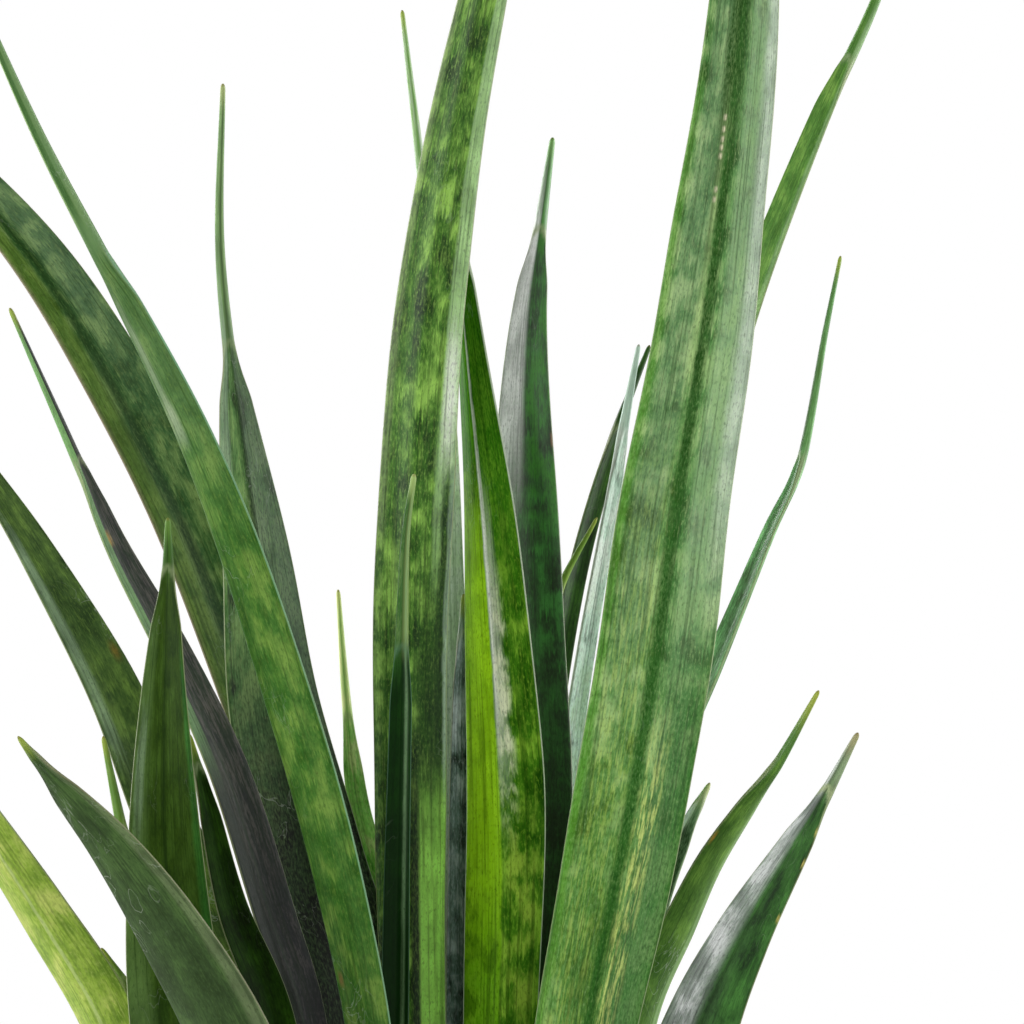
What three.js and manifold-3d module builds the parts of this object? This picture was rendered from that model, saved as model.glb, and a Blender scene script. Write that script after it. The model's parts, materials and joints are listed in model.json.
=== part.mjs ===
// A potted star sansevieria: about forty thick, channelled leaves that end in solid round tips,
// standing in potting soil in a plain earthenware pot.
// Millimetres, +Z up. The origin is the centre of the pot's underside. +X is the plant's right
// and -Y is its front.
import * as THREE from 'three'
import { mergeVertices } from 'three/addons/utils/BufferGeometryUtils.js'
import Module from 'manifold-3d'

const wasm = await Module()
wasm.setup()

// Air left between two pieces that touch
const GAP = 0.3
// Points closer than this are one point
const MERGE_DISTANCE = 1e-4
// How far a cutting bar reaches past the wall that it cuts
const CUT_PAST = 1

// Pot
const POT_HEIGHT = 150
const POT_FOOT_RADIUS = 64
const POT_TOP_RADIUS = 88
const POT_WALL = 5.5
const POT_FLOOR = 9
const RIM_HEIGHT = 24
const RIM_PROUD = 4
const RIM_ROUND = 2.5
const POT_SIDES = 48
const DRAIN_HOLES = 5
const DRAIN_RADIUS = 5.5
const DRAIN_RING_RADIUS = 34
const DRAIN_SIDES = 12

// Soil
const SOIL_TOP = 135
const SOIL_SIDES = 40

// Leaf feet stand this deep in the soil, on the rhizome
const FOOT_DEPTH = 22
const FOOT_Z = SOIL_TOP - FOOT_DEPTH

// Rhizome: a flat knot under each group of leaves, joined by thick runners
const KNOT_RADIUS = 19
const KNOT_HEIGHT = 15
const KNOT_SIDES = 12
const KNOT_FOOT_SHARE = 0.6
const KNOT_TOP_SHARE = 0.9
const RUNNER_RADIUS = 6
const RUNNER_SIDES = 6
const KNOTS = [[-44, -8], [-12, -34], [2, 8], [42, -16], [34, 28], [-16, 42]]
const RUNNERS = [[0, 2], [1, 2], [2, 3], [2, 4], [2, 5]]

// Leaf section
const EDGE_THICKNESS = 0.9
const MIDDLE_THICKNESS_BASE = 1.0
const MIDDLE_THICKNESS_RATE = 0.22
const KEEL_SOFTNESS = 0.18
const SECTION_SHIFT = 0.45
const SOLID_HALF_TURN = 80 * Math.PI / 180
const POINTS_ACROSS = 5

// Leaf foot, a solid oval that opens into the channelled blade above the soil
const FOOT_WIDTH_BASE = 1.2
const FOOT_WIDTH_RATE = 0.42
const FOOT_THICKNESS_BASE = 1.3
const FOOT_THICKNESS_RATE = 0.19
const FOOT_SOLID_TO = 34
const FOOT_OPEN_FROM = 95
// A short leaf has its first blade section at this share of the way up to its shoulder
const SHORT_LEAF_OPEN_SHARE = 0.6

// Leaf tip, a solid round point as long as each leaf's own row says. The blade closes over the
// shoulder, which ends a little past the foot of the point.
const SHOULDER_LENGTH = 16
const SHOULDER_MIDDLE = SHOULDER_LENGTH / 3
const SHOULDER_PAST = SHOULDER_LENGTH / 4
const SHOULDER_WIDTH = 1.5
const TIP_END = 0.4
const TIP_MIDDLE_SHARE = 0.55
const APEX_LENGTH = 1.5

// Distance between the sections of a blade
const STATION_SPACING = 46

// One row for each leaf, front of the plant first within a group.
// route: from foot to tip, in millimetres. half: half its width where it is widest.
// tip: length of its solid point, and radius of the point where it starts.
// faces: where the channel looks at the foot and at the tip, in degrees round the plant: 0 is
// right, 90 is the back, -90 is the front, 180 is left.
// cup: how deep the channel is against half the width. keel: 1.2 is a V and 2 is a U.
// widest: how far up the blade it is widest. taper: how late the blade narrows to its shoulder.
const LEAF_DEFAULTS = { tip: 40, tipRadius: 1.7, cup: 0.5, keel: 1.5, widest: 0.5, taper: 1.6 }
const LEAVES = [
  // Left side
  { name: 'leaf_01_tall_left', half: 8.8, tip: 92, tipRadius: 2.6, faces: [60, 50], cup: 0.3, widest: 0.6,
    route: [[-12, -30, FOOT_Z], [-19, -34, 248], [-44, -41, 351], [-70, -47, 424],
      [-95, -53, 474], [-114, -58, 511], [-135, -63, 558]] },
  { name: 'leaf_02_broad_left', half: 11.6, tip: 44, faces: [-55, -70], cup: 0.4, keel: 1.3,
    widest: 0.6, taper: 2.4,
    route: [[-18, 25, FOOT_Z], [-27, 25, 248], [-54, 27, 344], [-76, 30, 402], [-107, 34, 460],
      [-131, 38, 492], [-167, 44, 529], [-206, 52, 557]] },
  { name: 'leaf_03_needle_left', half: 17, tip: 80, tipRadius: 1.9, faces: [-72, -74], cup: 0.4,
    widest: 0.4, taper: 2.2,
    route: [[-8, 9, FOOT_Z], [-21, 8, 248], [-36, 6, 294], [-47, 4, 340], [-53, 2, 388],
      [-59.5, 0, 443], [-63, -2, 482], [-62, -4, 530]] },
  { name: 'leaf_04_purple_channel', half: 8.2, tip: 52, faces: [-40, -50], widest: 0.6,
    route: [[-25, -8, FOOT_Z], [-38, -14, 248], [-48, -17, 281], [-61.5, -21, 325],
      [-77, -25, 359], [-94, -30, 392], [-104, -34, 416], [-124, -42, 462]] },
  { name: 'leaf_05_outer_left', half: 9.4, tip: 34, faces: [-70, -70], cup: 0.35, widest: 0.6,
    route: [[-42, 13, FOOT_Z], [-57, 12, 248], [-83, 12, 315], [-97, 14, 350], [-119, 17, 389],
      [-139, 20, 420], [-160, 24, 455]] },
  { name: 'leaf_06_short_front_left', half: 16, tip: 17, tipRadius: 1.9, faces: [-80, -100],
    cup: 0.4, widest: 0.36, taper: 1.6,
    route: [[-50, -29, FOOT_Z], [-57.5, -35, 160], [-73, -46, 248], [-77.5, -52, 300],
      [-77.5, -57, 345], [-76.5, -60, 383], [-76.5, -62, 400]] },
  { name: 'leaf_07_low_front_left', half: 14, tip: 8, tipRadius: 1.5, faces: [70, 60], cup: 0.35,
    taper: 1.8,
    route: [[-30, -50, FOOT_Z], [-40, -62, 190], [-59.5, -74, 248], [-76, -81, 279],
      [-93, -87, 304], [-107, -91, 321], [-119, -95, 336.5]] },
  { name: 'leaf_08_young_left', half: 3.8, tip: 30, tipRadius: 1.8, faces: [-70, -70],
    route: [[-58, -12, FOOT_Z], [-80, -22, 250], [-90, -25, 300], [-97, -26, 335]] },
  { name: 'leaf_09_lime_left', half: 10, tip: 24, faces: [60, 60], keel: 1.2, taper: 2,
    route: [[-64, 2, FOOT_Z], [-78, -8, 190], [-96.5, -18, 248], [-116, -24, 282],
      [-144, -32, 327], [-164, -38, 366]] },
  { name: 'leaf_10_sprout_left', half: 4, tip: 14, faces: [-60, -60],
    route: [[-62, 16, FOOT_Z], [-76, 16, 200], [-88, 18, 251], [-99.5, 20, 270]] },
  { name: 'leaf_12_low_left', half: 5.4, tip: 12, faces: [-60, -60],
    route: [[-38, -28, FOOT_Z], [-46, -36, 248], [-59, -38, 285], [-66, -39, 315],
      [-71, -40, 336]] },
  // Centre
  { name: 'leaf_11_young_centre', half: 4.2, tip: 41, tipRadius: 1.2, faces: [-90, -90], widest: 0.7,
    route: [[-8, 38, FOOT_Z], [-11, 40, 248], [-18, 44, 294], [-22.5, 46, 314], [-26, 49, 345],
      [-28.5, 52, 378]] },
  { name: 'leaf_13_tall_centre', half: 11.4, tip: 42, tipRadius: 2.2, faces: [90, 84], cup: 0.4,
    keel: 1.8, widest: 0.55, taper: 1.5,
    route: [[-2, -6, FOOT_Z], [-5, -6, 248], [-6, -6, 355], [-3, -6, 429], [4, -4, 495],
      [15.5, 1, 555], [28.5, 8, 615], [38, 17, 682]] },
  { name: 'leaf_14_slim_front', half: 4.3, tip: 32, tipRadius: 1.5, faces: [-80, -90], widest: 0.4,
    route: [[-12, -16, FOOT_Z], [-10.5, -20, 248], [-9.5, -20, 305], [-8.5, -21, 350],
      [-7, -22, 395], [-4.5, -23, 413]] },
  { name: 'leaf_15_grey_centre', half: 4.3, tip: 14, faces: [-80, -80],
    route: [[7.5, 12, FOOT_Z], [8.6, 13, 248], [8.8, 13, 315], [9.5, 13, 350], [10, 13, 377]] },
  { name: 'leaf_16_keeled_centre', half: 12, tip: 24, faces: [118, 42], keel: 1.2, cup: 0.55,
    widest: 0.55, taper: 1.5,
    route: [[16, -12, FOOT_Z], [21, -7, 248], [22.2, -4, 300], [20.4, 0, 345], [16.5, 6, 400],
      [11, 12, 455], [6, 16, 508]] },
  { name: 'leaf_17_tall_back_centre', half: 6.8, tip: 66, faces: [-70, -75],
    route: [[3, 23, FOOT_Z], [3.5, 27, 315], [3, 31, 375], [2, 36, 430], [-0.5, 43, 480],
      [-9, 56, 555]] },
  { name: 'leaf_18_banded_centre', half: 13.6, tip: 31, tipRadius: 2.1, faces: [-80, -88], cup: 0.4,
    taper: 1.8,
    route: [[23, 12, FOOT_Z], [27.5, 21, 248], [29, 24, 325], [28.2, 27, 400], [29.5, 31, 459],
      [33, 35, 487], [37, 40, 515.5]] },
  // Right side
  { name: 'leaf_19_dark_back_right', half: 4.8, tip: 30, faces: [-60, -60],
    route: [[25, 36, FOOT_Z], [29, 48, 248], [33, 53, 315], [42.6, 61, 377], [55.5, 70, 423],
      [67, 78, 453]] },
  { name: 'leaf_20_small_back_right', half: 3.2, tip: 26, tipRadius: 1.3, faces: [-80, -80],
    route: [[34, 22, FOOT_Z], [31, 35, 248], [33, 38, 339], [38, 40, 375], [50.5, 44, 400]] },
  { name: 'leaf_21_sage_back_right', half: 4.8, tip: 30, faces: [-45, -45], cup: 0.35,
    route: [[41, 30, FOOT_Z], [38, 40, 248], [41.7, 45, 325], [46.5, 49, 360], [54, 55, 402],
      [63.5, 64, 453]] },
  { name: 'leaf_22_broad_right', half: 17.2, tip: 42, tipRadius: 2.6, faces: [-88, -96], cup: 0.42,
    keel: 1.3, widest: 0.44, taper: 1.5,
    route: [[28, -27, FOOT_Z], [46.5, -30, 248], [61.4, -33, 325], [72.8, -37, 401.5],
      [84.7, -42, 478], [93.5, -48, 555], [98, -54, 635], [99, -60, 705]] },
  { name: 'leaf_23_upper_right', half: 7.2, tip: 62, tipRadius: 2, faces: [-120, -120],
    route: [[44, 13, FOOT_Z], [49, 17, 248], [61, 22, 325], [78, 31, 399], [96, 43, 462],
      [118.5, 57, 520], [135.5, 67, 557], [149, 77, 594]] },
  { name: 'leaf_24_needle_right', half: 7, tip: 66, tipRadius: 1.5, faces: [-150, -150], widest: 0.6,
    route: [[42, -4, FOOT_Z], [51, 1, 248], [74, 8, 326], [86.5, 13, 355], [103, 21, 395],
      [111, 25, 413], [120, 34, 458], [124.5, 40, 479.5]] },
  { name: 'leaf_25_outer_right', half: 8.4, tip: 27, faces: [130, 130], cup: 0.35,
    route: [[49, -17, FOOT_Z], [62.5, -14, 248], [76, -14, 279], [84.5, -15, 297],
      [95.4, -17, 314], [103.5, -19, 326], [116, -22, 348.5]] },
  { name: 'leaf_26_low_front_right', half: 13.6, tip: 21, tipRadius: 2, faces: [-100, -115],
    cup: 0.42, taper: 1.3,
    route: [[47, -34, FOOT_Z], [55, -38, 155], [80.4, -49, 248], [93, -55, 276],
      [107.4, -62, 302], [116.2, -66, 318], [126, -71, 337]] },
  { name: 'leaf_27_young_right', half: 6.2, tip: 8, tipRadius: 1.6, faces: [-100, -100],
    route: [[57, 0, FOOT_Z], [60, 8, 248], [68, 11, 283], [77.6, 14, 307], [84.3, 16, 320]] },
  // Back, out of sight from the front
  { name: 'leaf_28_back_right', half: 9, tip: 30, faces: [-100, -100],
    route: [[36, 48, FOOT_Z], [45, 64, 248], [63, 86, 330], [76, 106, 405], [88, 130, 490]] },
  { name: 'leaf_29_back_centre', half: 8, tip: 34, faces: [-90, -90],
    route: [[0, 52, FOOT_Z], [-3, 64, 248], [-4, 88, 380], [-3, 110, 478]] },
  { name: 'leaf_30_back_left', half: 7.4, tip: 26, faces: [-80, -80],
    route: [[-24, 42, FOOT_Z], [-35, 58, 248], [-47, 78, 320], [-52, 94, 380]] },
  { name: 'leaf_31_back_middle_right', half: 8, tip: 28, faces: [-90, -90],
    route: [[14, 50, FOOT_Z], [17, 72, 248], [22, 94, 340], [26, 112, 412]] },
  { name: 'leaf_32_back_outer_left', half: 5.6, tip: 16, faces: [-50, -50],
    route: [[-46, 34, FOOT_Z], [-66, 46, 230], [-79, 56, 290], [-84, 62, 330]] },
  { name: 'leaf_33_back_outer_right', half: 6.4, tip: 16, faces: [-110, -110],
    route: [[56, 22, FOOT_Z], [60, 40, 230], [66, 55, 290], [69, 68, 330]] },
  { name: 'leaf_34_back_tall_left', half: 6.4, tip: 34, faces: [-60, -60],
    route: [[-36, 28, FOOT_Z], [-42, 48, 248], [-61, 64, 344], [-82, 74, 402], [-108, 82, 452]] },
  // Short outer leaves, lower than the tall ones' blades
  { name: 'leaf_35_short_front', half: 8, tip: 10, faces: [90, 90],
    route: [[-8, -58, FOOT_Z], [-14, -74, 170], [-22, -96, 212], [-28, -118, 236]] },
  { name: 'leaf_36_short_front_right', half: 8.4, tip: 10, faces: [100, 100],
    route: [[20, -54, FOOT_Z], [27, -70, 170], [36, -92, 210], [44, -114, 234]] },
  { name: 'leaf_37_short_back', half: 7.4, tip: 10, faces: [-90, -90],
    route: [[-8, 58, FOOT_Z], [-11, 70, 158], [-16, 104, 212], [-18, 128, 238]] },
  { name: 'leaf_38_short_back_left', half: 7, tip: 10, faces: [-50, -50],
    route: [[-32, 54, FOOT_Z], [-42, 64, 158], [-60, 88, 210], [-74, 106, 238]] },
  { name: 'leaf_39_short_back_right', half: 7, tip: 10, faces: [-130, -130],
    route: [[46, 38, FOOT_Z], [54, 44, 155], [80, 66, 206], [100, 84, 236]] },
  { name: 'leaf_40_short_right', half: 7.4, tip: 10, faces: [170, 170],
    route: [[60, -12, FOOT_Z], [69, -14, 155], [98, -19, 204], [122, -24, 238]] },
]

// Colours and roughness, as the plant shows them
const LEAF_COLOUR = 0x46702f
const LIME_LEAF_COLOUR = 0x86a83a
const LEAF_ROUGHNESS = 0.45
const POT_COLOUR = 0xb5694a
const POT_ROUGHNESS = 0.85
const SOIL_COLOUR = 0x3a2a1e
const SOIL_ROUGHNESS = 1
const RHIZOME_COLOUR = 0xc08a4a
const RHIZOME_ROUGHNESS = 0.7

const smoothstep = THREE.MathUtils.smoothstep
const radians = THREE.MathUtils.degToRad

// A geometry from a list of points and a list of triangles that share them
function geometryFrom(points, triangles) {
  const geometry = new THREE.BufferGeometry()
  const flat = points.flatMap((point) => [point.x, point.y, point.z])
  geometry.setAttribute('position', new THREE.Float32BufferAttribute(flat, 3))
  geometry.setIndex(triangles)
  return geometry
}

// Half the blade's width at a distance from the foot
function halfWidthAt(leaf, distance, bladeLength) {
  const foot = FOOT_WIDTH_BASE + FOOT_WIDTH_RATE * leaf.half
  const shoulder = SHOULDER_WIDTH * leaf.tipRadius
  const along = Math.min(distance / bladeLength, 1)
  if (along < leaf.widest) {
    return foot + (leaf.half - foot) * Math.sin(Math.PI / 2 * along / leaf.widest)
  }
  const narrowed = (along - leaf.widest) / (1 - leaf.widest)
  return shoulder + (leaf.half - shoulder) * (1 - narrowed ** leaf.taper)
}

// How far the outer face stands up towards the channel side, 0 at the keel and 1 at the margin
function keelShape(across, keel) {
  const floor = KEEL_SOFTNESS ** keel
  const rise = (across ** 2 + KEEL_SOFTNESS ** 2) ** (keel / 2) - floor
  return rise / ((1 + KEEL_SOFTNESS ** 2) ** (keel / 2) - floor)
}

// A point of the channelled section: side is -1 on the outer face and 1 on the inner one
function channelPoint(leaf, halfWidth, across, side) {
  const depth = leaf.cup * halfWidth
  const middle = MIDDLE_THICKNESS_BASE + MIDDLE_THICKNESS_RATE * halfWidth
  const thickness = EDGE_THICKNESS + (middle - EDGE_THICKNESS) * (1 - across ** 2)
  const outer = depth * (keelShape(across, leaf.keel) - SECTION_SHIFT)
  return [halfWidth * across, side < 0 ? outer : outer + thickness]
}

// A point of a solid oval section
function ovalPoint(halfWidth, halfThickness, across, side) {
  const turn = across * SOLID_HALF_TURN
  return [halfWidth * Math.sin(turn), side * halfThickness * Math.cos(turn)]
}

// The leaf's section at a distance from its foot, as pairs of across and outward measures
function sectionAt(leaf, distance, length, grow) {
  const bladeLength = length - leaf.tip
  const halfWidth = halfWidthAt(leaf, distance, bladeLength)
  const footness = 1 - smoothstep(distance, FOOT_SOLID_TO, FOOT_OPEN_FROM)
  const tipness = smoothstep(distance, bladeLength - SHOULDER_LENGTH, bladeLength + SHOULDER_PAST)
  const beyond = Math.max(0, (distance - bladeLength) / leaf.tip)
  const tipRadius = leaf.tipRadius * (1 - (1 - TIP_END) * beyond)
  const footThickness = FOOT_THICKNESS_BASE + FOOT_THICKNESS_RATE * leaf.half
  const points = []
  for (let index = 0; index < 2 * POINTS_ACROSS; index += 1) {
    const side = index < POINTS_ACROSS ? -1 : 1
    const step = index < POINTS_ACROSS ? index : 2 * POINTS_ACROSS - 1 - index
    const across = 1 - 2 * step / (POINTS_ACROSS - 1)
    const blade = channelPoint(leaf, halfWidth, across, side)
    const foot = ovalPoint(halfWidth + grow, footThickness + grow, across, side)
    const tip = ovalPoint(tipRadius, tipRadius, across, side)
    const mixed = blade.map((value, axis) => {
      const lower = THREE.MathUtils.lerp(value, foot[axis], footness)
      return THREE.MathUtils.lerp(lower, tip[axis], tipness)
    })
    points.push(mixed)
  }
  return points
}

// The ring of points that a section makes round the leaf's route, slid level at the foot
function ringAt(leaf, curve, distance, length, grow = 0) {
  const along = distance / length
  const centre = curve.getPointAt(along)
  const forward = curve.getTangentAt(along)
  const turn = radians(THREE.MathUtils.lerp(leaf.faces[0], leaf.faces[1], along))
  const look = new THREE.Vector3(Math.cos(turn), Math.sin(turn), 0)
  const inward = look.addScaledVector(forward, -look.dot(forward)).normalize()
  const sideways = forward.clone().cross(inward)
  const ring = sectionAt(leaf, distance, length, grow).map(([across, outward]) => centre.clone()
    .addScaledVector(sideways, across).addScaledVector(inward, outward))
  if (distance > 0) {
    return ring
  }
  return ring.map((point) => point.addScaledVector(forward, (FOOT_Z - point.z) / forward.z))
}

// A closed skin over rings of points, split alike on both faces of a blade, with a flat foot
// and either a flat head or a point
function skin(rings, apex) {
  const count = rings[0].length
  const half = count / 2
  const points = rings.flat()
  const triangles = []
  for (let row = 0; row < rings.length - 1; row += 1) {
    for (let index = 0; index < count; index += 1) {
      const next = (index + 1) % count
      const low = row * count
      const high = low + count
      if (index < half) {
        triangles.push(low + index, low + next, high + next)
        triangles.push(low + index, high + next, high + index)
      } else {
        triangles.push(low + index, low + next, high + index)
        triangles.push(low + next, high + next, high + index)
      }
    }
  }
  for (let index = 0; index < half - 1; index += 1) {
    const across = count - 1 - index
    triangles.push(index, across - 1, index + 1)
    triangles.push(index, across, across - 1)
  }
  const top = (rings.length - 1) * count
  if (apex) {
    points.push(apex)
    for (let index = 0; index < count; index += 1) {
      triangles.push(top + index, top + (index + 1) % count, points.length - 1)
    }
  } else {
    for (let index = 0; index < half - 1; index += 1) {
      const across = count - 1 - index
      triangles.push(top + index, top + index + 1, top + across - 1)
      triangles.push(top + index, top + across - 1, top + across)
    }
  }
  return geometryFrom(points, triangles)
}

// The leaf's route as a smooth curve
function leafCurve(leaf) {
  return new THREE.CatmullRomCurve3(leaf.route.map((point) => new THREE.Vector3(...point)))
}

// Where sections are taken: evenly up the blade, then round the shoulder and up the tip
function stationsOf(leaf, length) {
  const blade = length - leaf.tip
  const shoulder = blade - SHOULDER_LENGTH
  const open = Math.min(FOOT_OPEN_FROM, shoulder * SHORT_LEAF_OPEN_SHARE)
  const steps = Math.max(2, Math.round((shoulder - open) / STATION_SPACING))
  const stations = [0, FOOT_SOLID_TO, (FOOT_SOLID_TO + open) / 2]
  for (let step = 0; step <= steps; step += 1) {
    stations.push(open + (shoulder - open) * step / steps)
  }
  stations.push(blade - SHOULDER_MIDDLE, blade + SHOULDER_PAST)
  if (leaf.tip > STATION_SPACING / 2) {
    stations.push(blade + leaf.tip * TIP_MIDDLE_SHARE)
  }
  stations.push(length - APEX_LENGTH)
  return stations
}

function leafGeometry(leaf) {
  const curve = leafCurve(leaf)
  const length = curve.getLength()
  const rings = stationsOf(leaf, length).map((distance) => ringAt(leaf, curve, distance, length))
  return skin(rings, curve.getPointAt(1))
}

// The plain hole that a leaf's foot stands in: the solid foot grown by the gap, and begun just
// under it
function socketGeometry(leaf) {
  const curve = leafCurve(leaf)
  const length = curve.getLength()
  const low = ringAt(leaf, curve, 0, length, GAP)
  const high = ringAt(leaf, curve, FOOT_SOLID_TO, length, GAP)
  const sunk = low.map((point, index) => point.clone().lerp(high[index], -2 * GAP / FOOT_SOLID_TO))
  return skin([sunk, high])
}

// A solid for joining and cutting, from a geometry
function solidOf(geometry) {
  const bare = geometry.clone()
  bare.deleteAttribute('normal')
  bare.deleteAttribute('uv')
  const merged = mergeVertices(bare, MERGE_DISTANCE)
  const mesh = new wasm.Mesh({
    numProp: 3,
    vertProperties: new Float32Array(merged.attributes.position.array),
    triVerts: new Uint32Array(merged.index.array),
  })
  return new wasm.Manifold(mesh)
}

// The geometry of a joined or cut solid
function geometryOf(solid) {
  const { vertProperties, triVerts } = solid.getMesh()
  const geometry = new THREE.BufferGeometry()
  geometry.setAttribute('position', new THREE.BufferAttribute(new Float32Array(vertProperties), 3))
  geometry.setIndex([...triVerts])
  return geometry
}

// A profile of radius and height pairs turned round the upright axis
function turned(profile, sides) {
  const points = profile.map(([radius, height]) => new THREE.Vector2(radius, height))
  return new THREE.LatheGeometry(points, sides).rotateX(Math.PI / 2)
}

// An upright round bar between two heights
function bar(radius, low, high, sides) {
  return new THREE.CylinderGeometry(radius, radius, high - low, sides).rotateX(Math.PI / 2)
    .translate(0, 0, (low + high) / 2)
}

// The pot's outer radius at a height, before its rim is added
function potRadiusAt(height) {
  return THREE.MathUtils.lerp(POT_FOOT_RADIUS, POT_TOP_RADIUS - RIM_PROUD, height / POT_HEIGHT)
}

function potGeometry() {
  const rimLow = POT_HEIGHT - RIM_HEIGHT
  const inner = POT_TOP_RADIUS - RIM_PROUD - POT_WALL
  const profile = [
    [0, 0],
    [POT_FOOT_RADIUS - RIM_ROUND, 0],
    [POT_FOOT_RADIUS, RIM_ROUND],
    [potRadiusAt(rimLow), rimLow],
    [POT_TOP_RADIUS - RIM_ROUND, rimLow + RIM_ROUND / 2],
    [POT_TOP_RADIUS, rimLow + 2 * RIM_ROUND],
    [POT_TOP_RADIUS, POT_HEIGHT - RIM_ROUND],
    [POT_TOP_RADIUS - RIM_ROUND, POT_HEIGHT],
    [inner + RIM_ROUND, POT_HEIGHT],
    [inner, POT_HEIGHT - RIM_ROUND],
    [potRadiusAt(POT_FLOOR) - POT_WALL, POT_FLOOR],
    [0, POT_FLOOR],
  ]
  let pot = solidOf(turned(profile, POT_SIDES))
  for (let index = 0; index < DRAIN_HOLES; index += 1) {
    const turn = 2 * Math.PI * index / DRAIN_HOLES
    const hole = bar(DRAIN_RADIUS, -CUT_PAST, POT_FLOOR + CUT_PAST, DRAIN_SIDES)
      .translate(DRAIN_RING_RADIUS * Math.cos(turn), DRAIN_RING_RADIUS * Math.sin(turn), 0)
    pot = pot.subtract(solidOf(hole))
  }
  return geometryOf(pot)
}

// The rhizome, or the pocket that it lies in when it is grown by the gap
function rhizomeSolid(grow) {
  const top = FOOT_Z - 2 * GAP + grow
  const middle = FOOT_Z - 2 * GAP - KNOT_HEIGHT / 2
  const profile = [
    [0, middle - KNOT_HEIGHT / 2 - grow],
    [KNOT_RADIUS * KNOT_FOOT_SHARE + grow, middle - KNOT_HEIGHT / 2 - grow],
    [KNOT_RADIUS + grow, middle],
    [KNOT_RADIUS * KNOT_TOP_SHARE + grow, top],
    [0, top],
  ]
  let rhizome = null
  for (const [x, y] of KNOTS) {
    const knot = solidOf(turned(profile, KNOT_SIDES)).translate([x, y, 0])
    rhizome = rhizome ? rhizome.add(knot) : knot
  }
  for (const [from, to] of RUNNERS) {
    const start = new THREE.Vector3(...KNOTS[from], middle)
    const end = new THREE.Vector3(...KNOTS[to], middle)
    const length = start.distanceTo(end)
    const runner = new THREE.CylinderGeometry(
      RUNNER_RADIUS + grow, RUNNER_RADIUS + grow, length, RUNNER_SIDES)
    const turn = new THREE.Quaternion().setFromUnitVectors(
      new THREE.Vector3(0, 1, 0), end.clone().sub(start).normalize())
    const centre = start.clone().add(end).multiplyScalar(0.5)
    runner.applyQuaternion(turn).translate(centre.x, centre.y, centre.z)
    rhizome = rhizome.add(solidOf(runner))
  }
  return rhizome
}

// The soil fills the pot to below its rim and has a hole for each leaf and a pocket for the rhizome
function soilGeometry(leaves) {
  const bottom = POT_FLOOR + GAP
  const wallAt = (height) => potRadiusAt(height) - POT_WALL - 2 * GAP
  const profile = [
    [0, bottom],
    [wallAt(bottom), bottom],
    [wallAt(SOIL_TOP), SOIL_TOP],
    [0, SOIL_TOP],
  ]
  let soil = solidOf(turned(profile, SOIL_SIDES)).subtract(rhizomeSolid(GAP))
  for (const leaf of leaves) {
    soil = soil.subtract(solidOf(socketGeometry(leaf)))
  }
  return geometryOf(soil)
}

function material(colour, roughness) {
  return new THREE.MeshStandardMaterial({ color: colour, roughness, metalness: 0 })
}

function named(name, geometry, finish) {
  const mesh = new THREE.Mesh(geometry, finish)
  mesh.name = name
  return mesh
}

const leaves = LEAVES.map((row) => ({ ...LEAF_DEFAULTS, ...row }))
const plant = new THREE.Group()
plant.add(named('pot', potGeometry(), material(POT_COLOUR, POT_ROUGHNESS)))
plant.add(named('soil', soilGeometry(leaves), material(SOIL_COLOUR, SOIL_ROUGHNESS)))
const rhizomeGeometry = geometryOf(rhizomeSolid(0))
plant.add(named('rhizome', rhizomeGeometry, material(RHIZOME_COLOUR, RHIZOME_ROUGHNESS)))
for (const leaf of leaves) {
  const colour = leaf.name.includes('lime') ? LIME_LEAF_COLOUR : LEAF_COLOUR
  plant.add(named(leaf.name, leafGeometry(leaf), material(colour, LEAF_ROUGHNESS)))
}

export default plant
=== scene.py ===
# %% [markdown]
# # A potted star sansevieria
#
# This lesson dresses a houseplant: forty stiff leaves that stand in potting soil in an earthenware
# pot. Each leaf is an open channel for most of its length and closes to a solid round point.
# The fixed frame comes first, because every new piece has to lie where the frame's piece lies.

# %% Load the frame
import json
import math
import random

import bmesh
import bpy
import numpy as np
from mathutils import Matrix, Vector, noise


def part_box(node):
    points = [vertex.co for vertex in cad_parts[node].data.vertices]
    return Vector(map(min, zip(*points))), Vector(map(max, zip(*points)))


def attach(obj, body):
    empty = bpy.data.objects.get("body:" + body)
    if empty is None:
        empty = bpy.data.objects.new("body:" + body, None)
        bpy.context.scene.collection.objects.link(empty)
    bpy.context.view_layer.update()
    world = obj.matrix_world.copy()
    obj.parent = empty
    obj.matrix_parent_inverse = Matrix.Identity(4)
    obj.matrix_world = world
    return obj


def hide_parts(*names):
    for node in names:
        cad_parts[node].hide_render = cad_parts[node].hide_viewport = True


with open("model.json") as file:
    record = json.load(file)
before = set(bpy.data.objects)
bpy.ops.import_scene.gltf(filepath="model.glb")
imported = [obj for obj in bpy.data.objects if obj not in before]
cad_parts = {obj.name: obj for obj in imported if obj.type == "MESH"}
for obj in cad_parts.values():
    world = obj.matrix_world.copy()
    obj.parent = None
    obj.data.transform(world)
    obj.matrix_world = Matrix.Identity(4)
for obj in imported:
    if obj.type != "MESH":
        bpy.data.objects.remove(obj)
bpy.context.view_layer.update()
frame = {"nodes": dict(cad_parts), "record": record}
slot_of = {row["node"]: row["material_slot"] for row in frame["record"]["subparts"]}
print("pieces in the frame:", len(frame["nodes"]))

# Lengths below are real millimetres, and Blender's are metres
MM = 0.001

# %% [markdown]
# ## Colours
#
# A given colour is an sRGB value, but a shader multiplies light, so it needs linear numbers.
# They could be worked out by hand. One function that reads the usual hex text keeps them readable.

# %% Hex text to linear numbers


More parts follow.
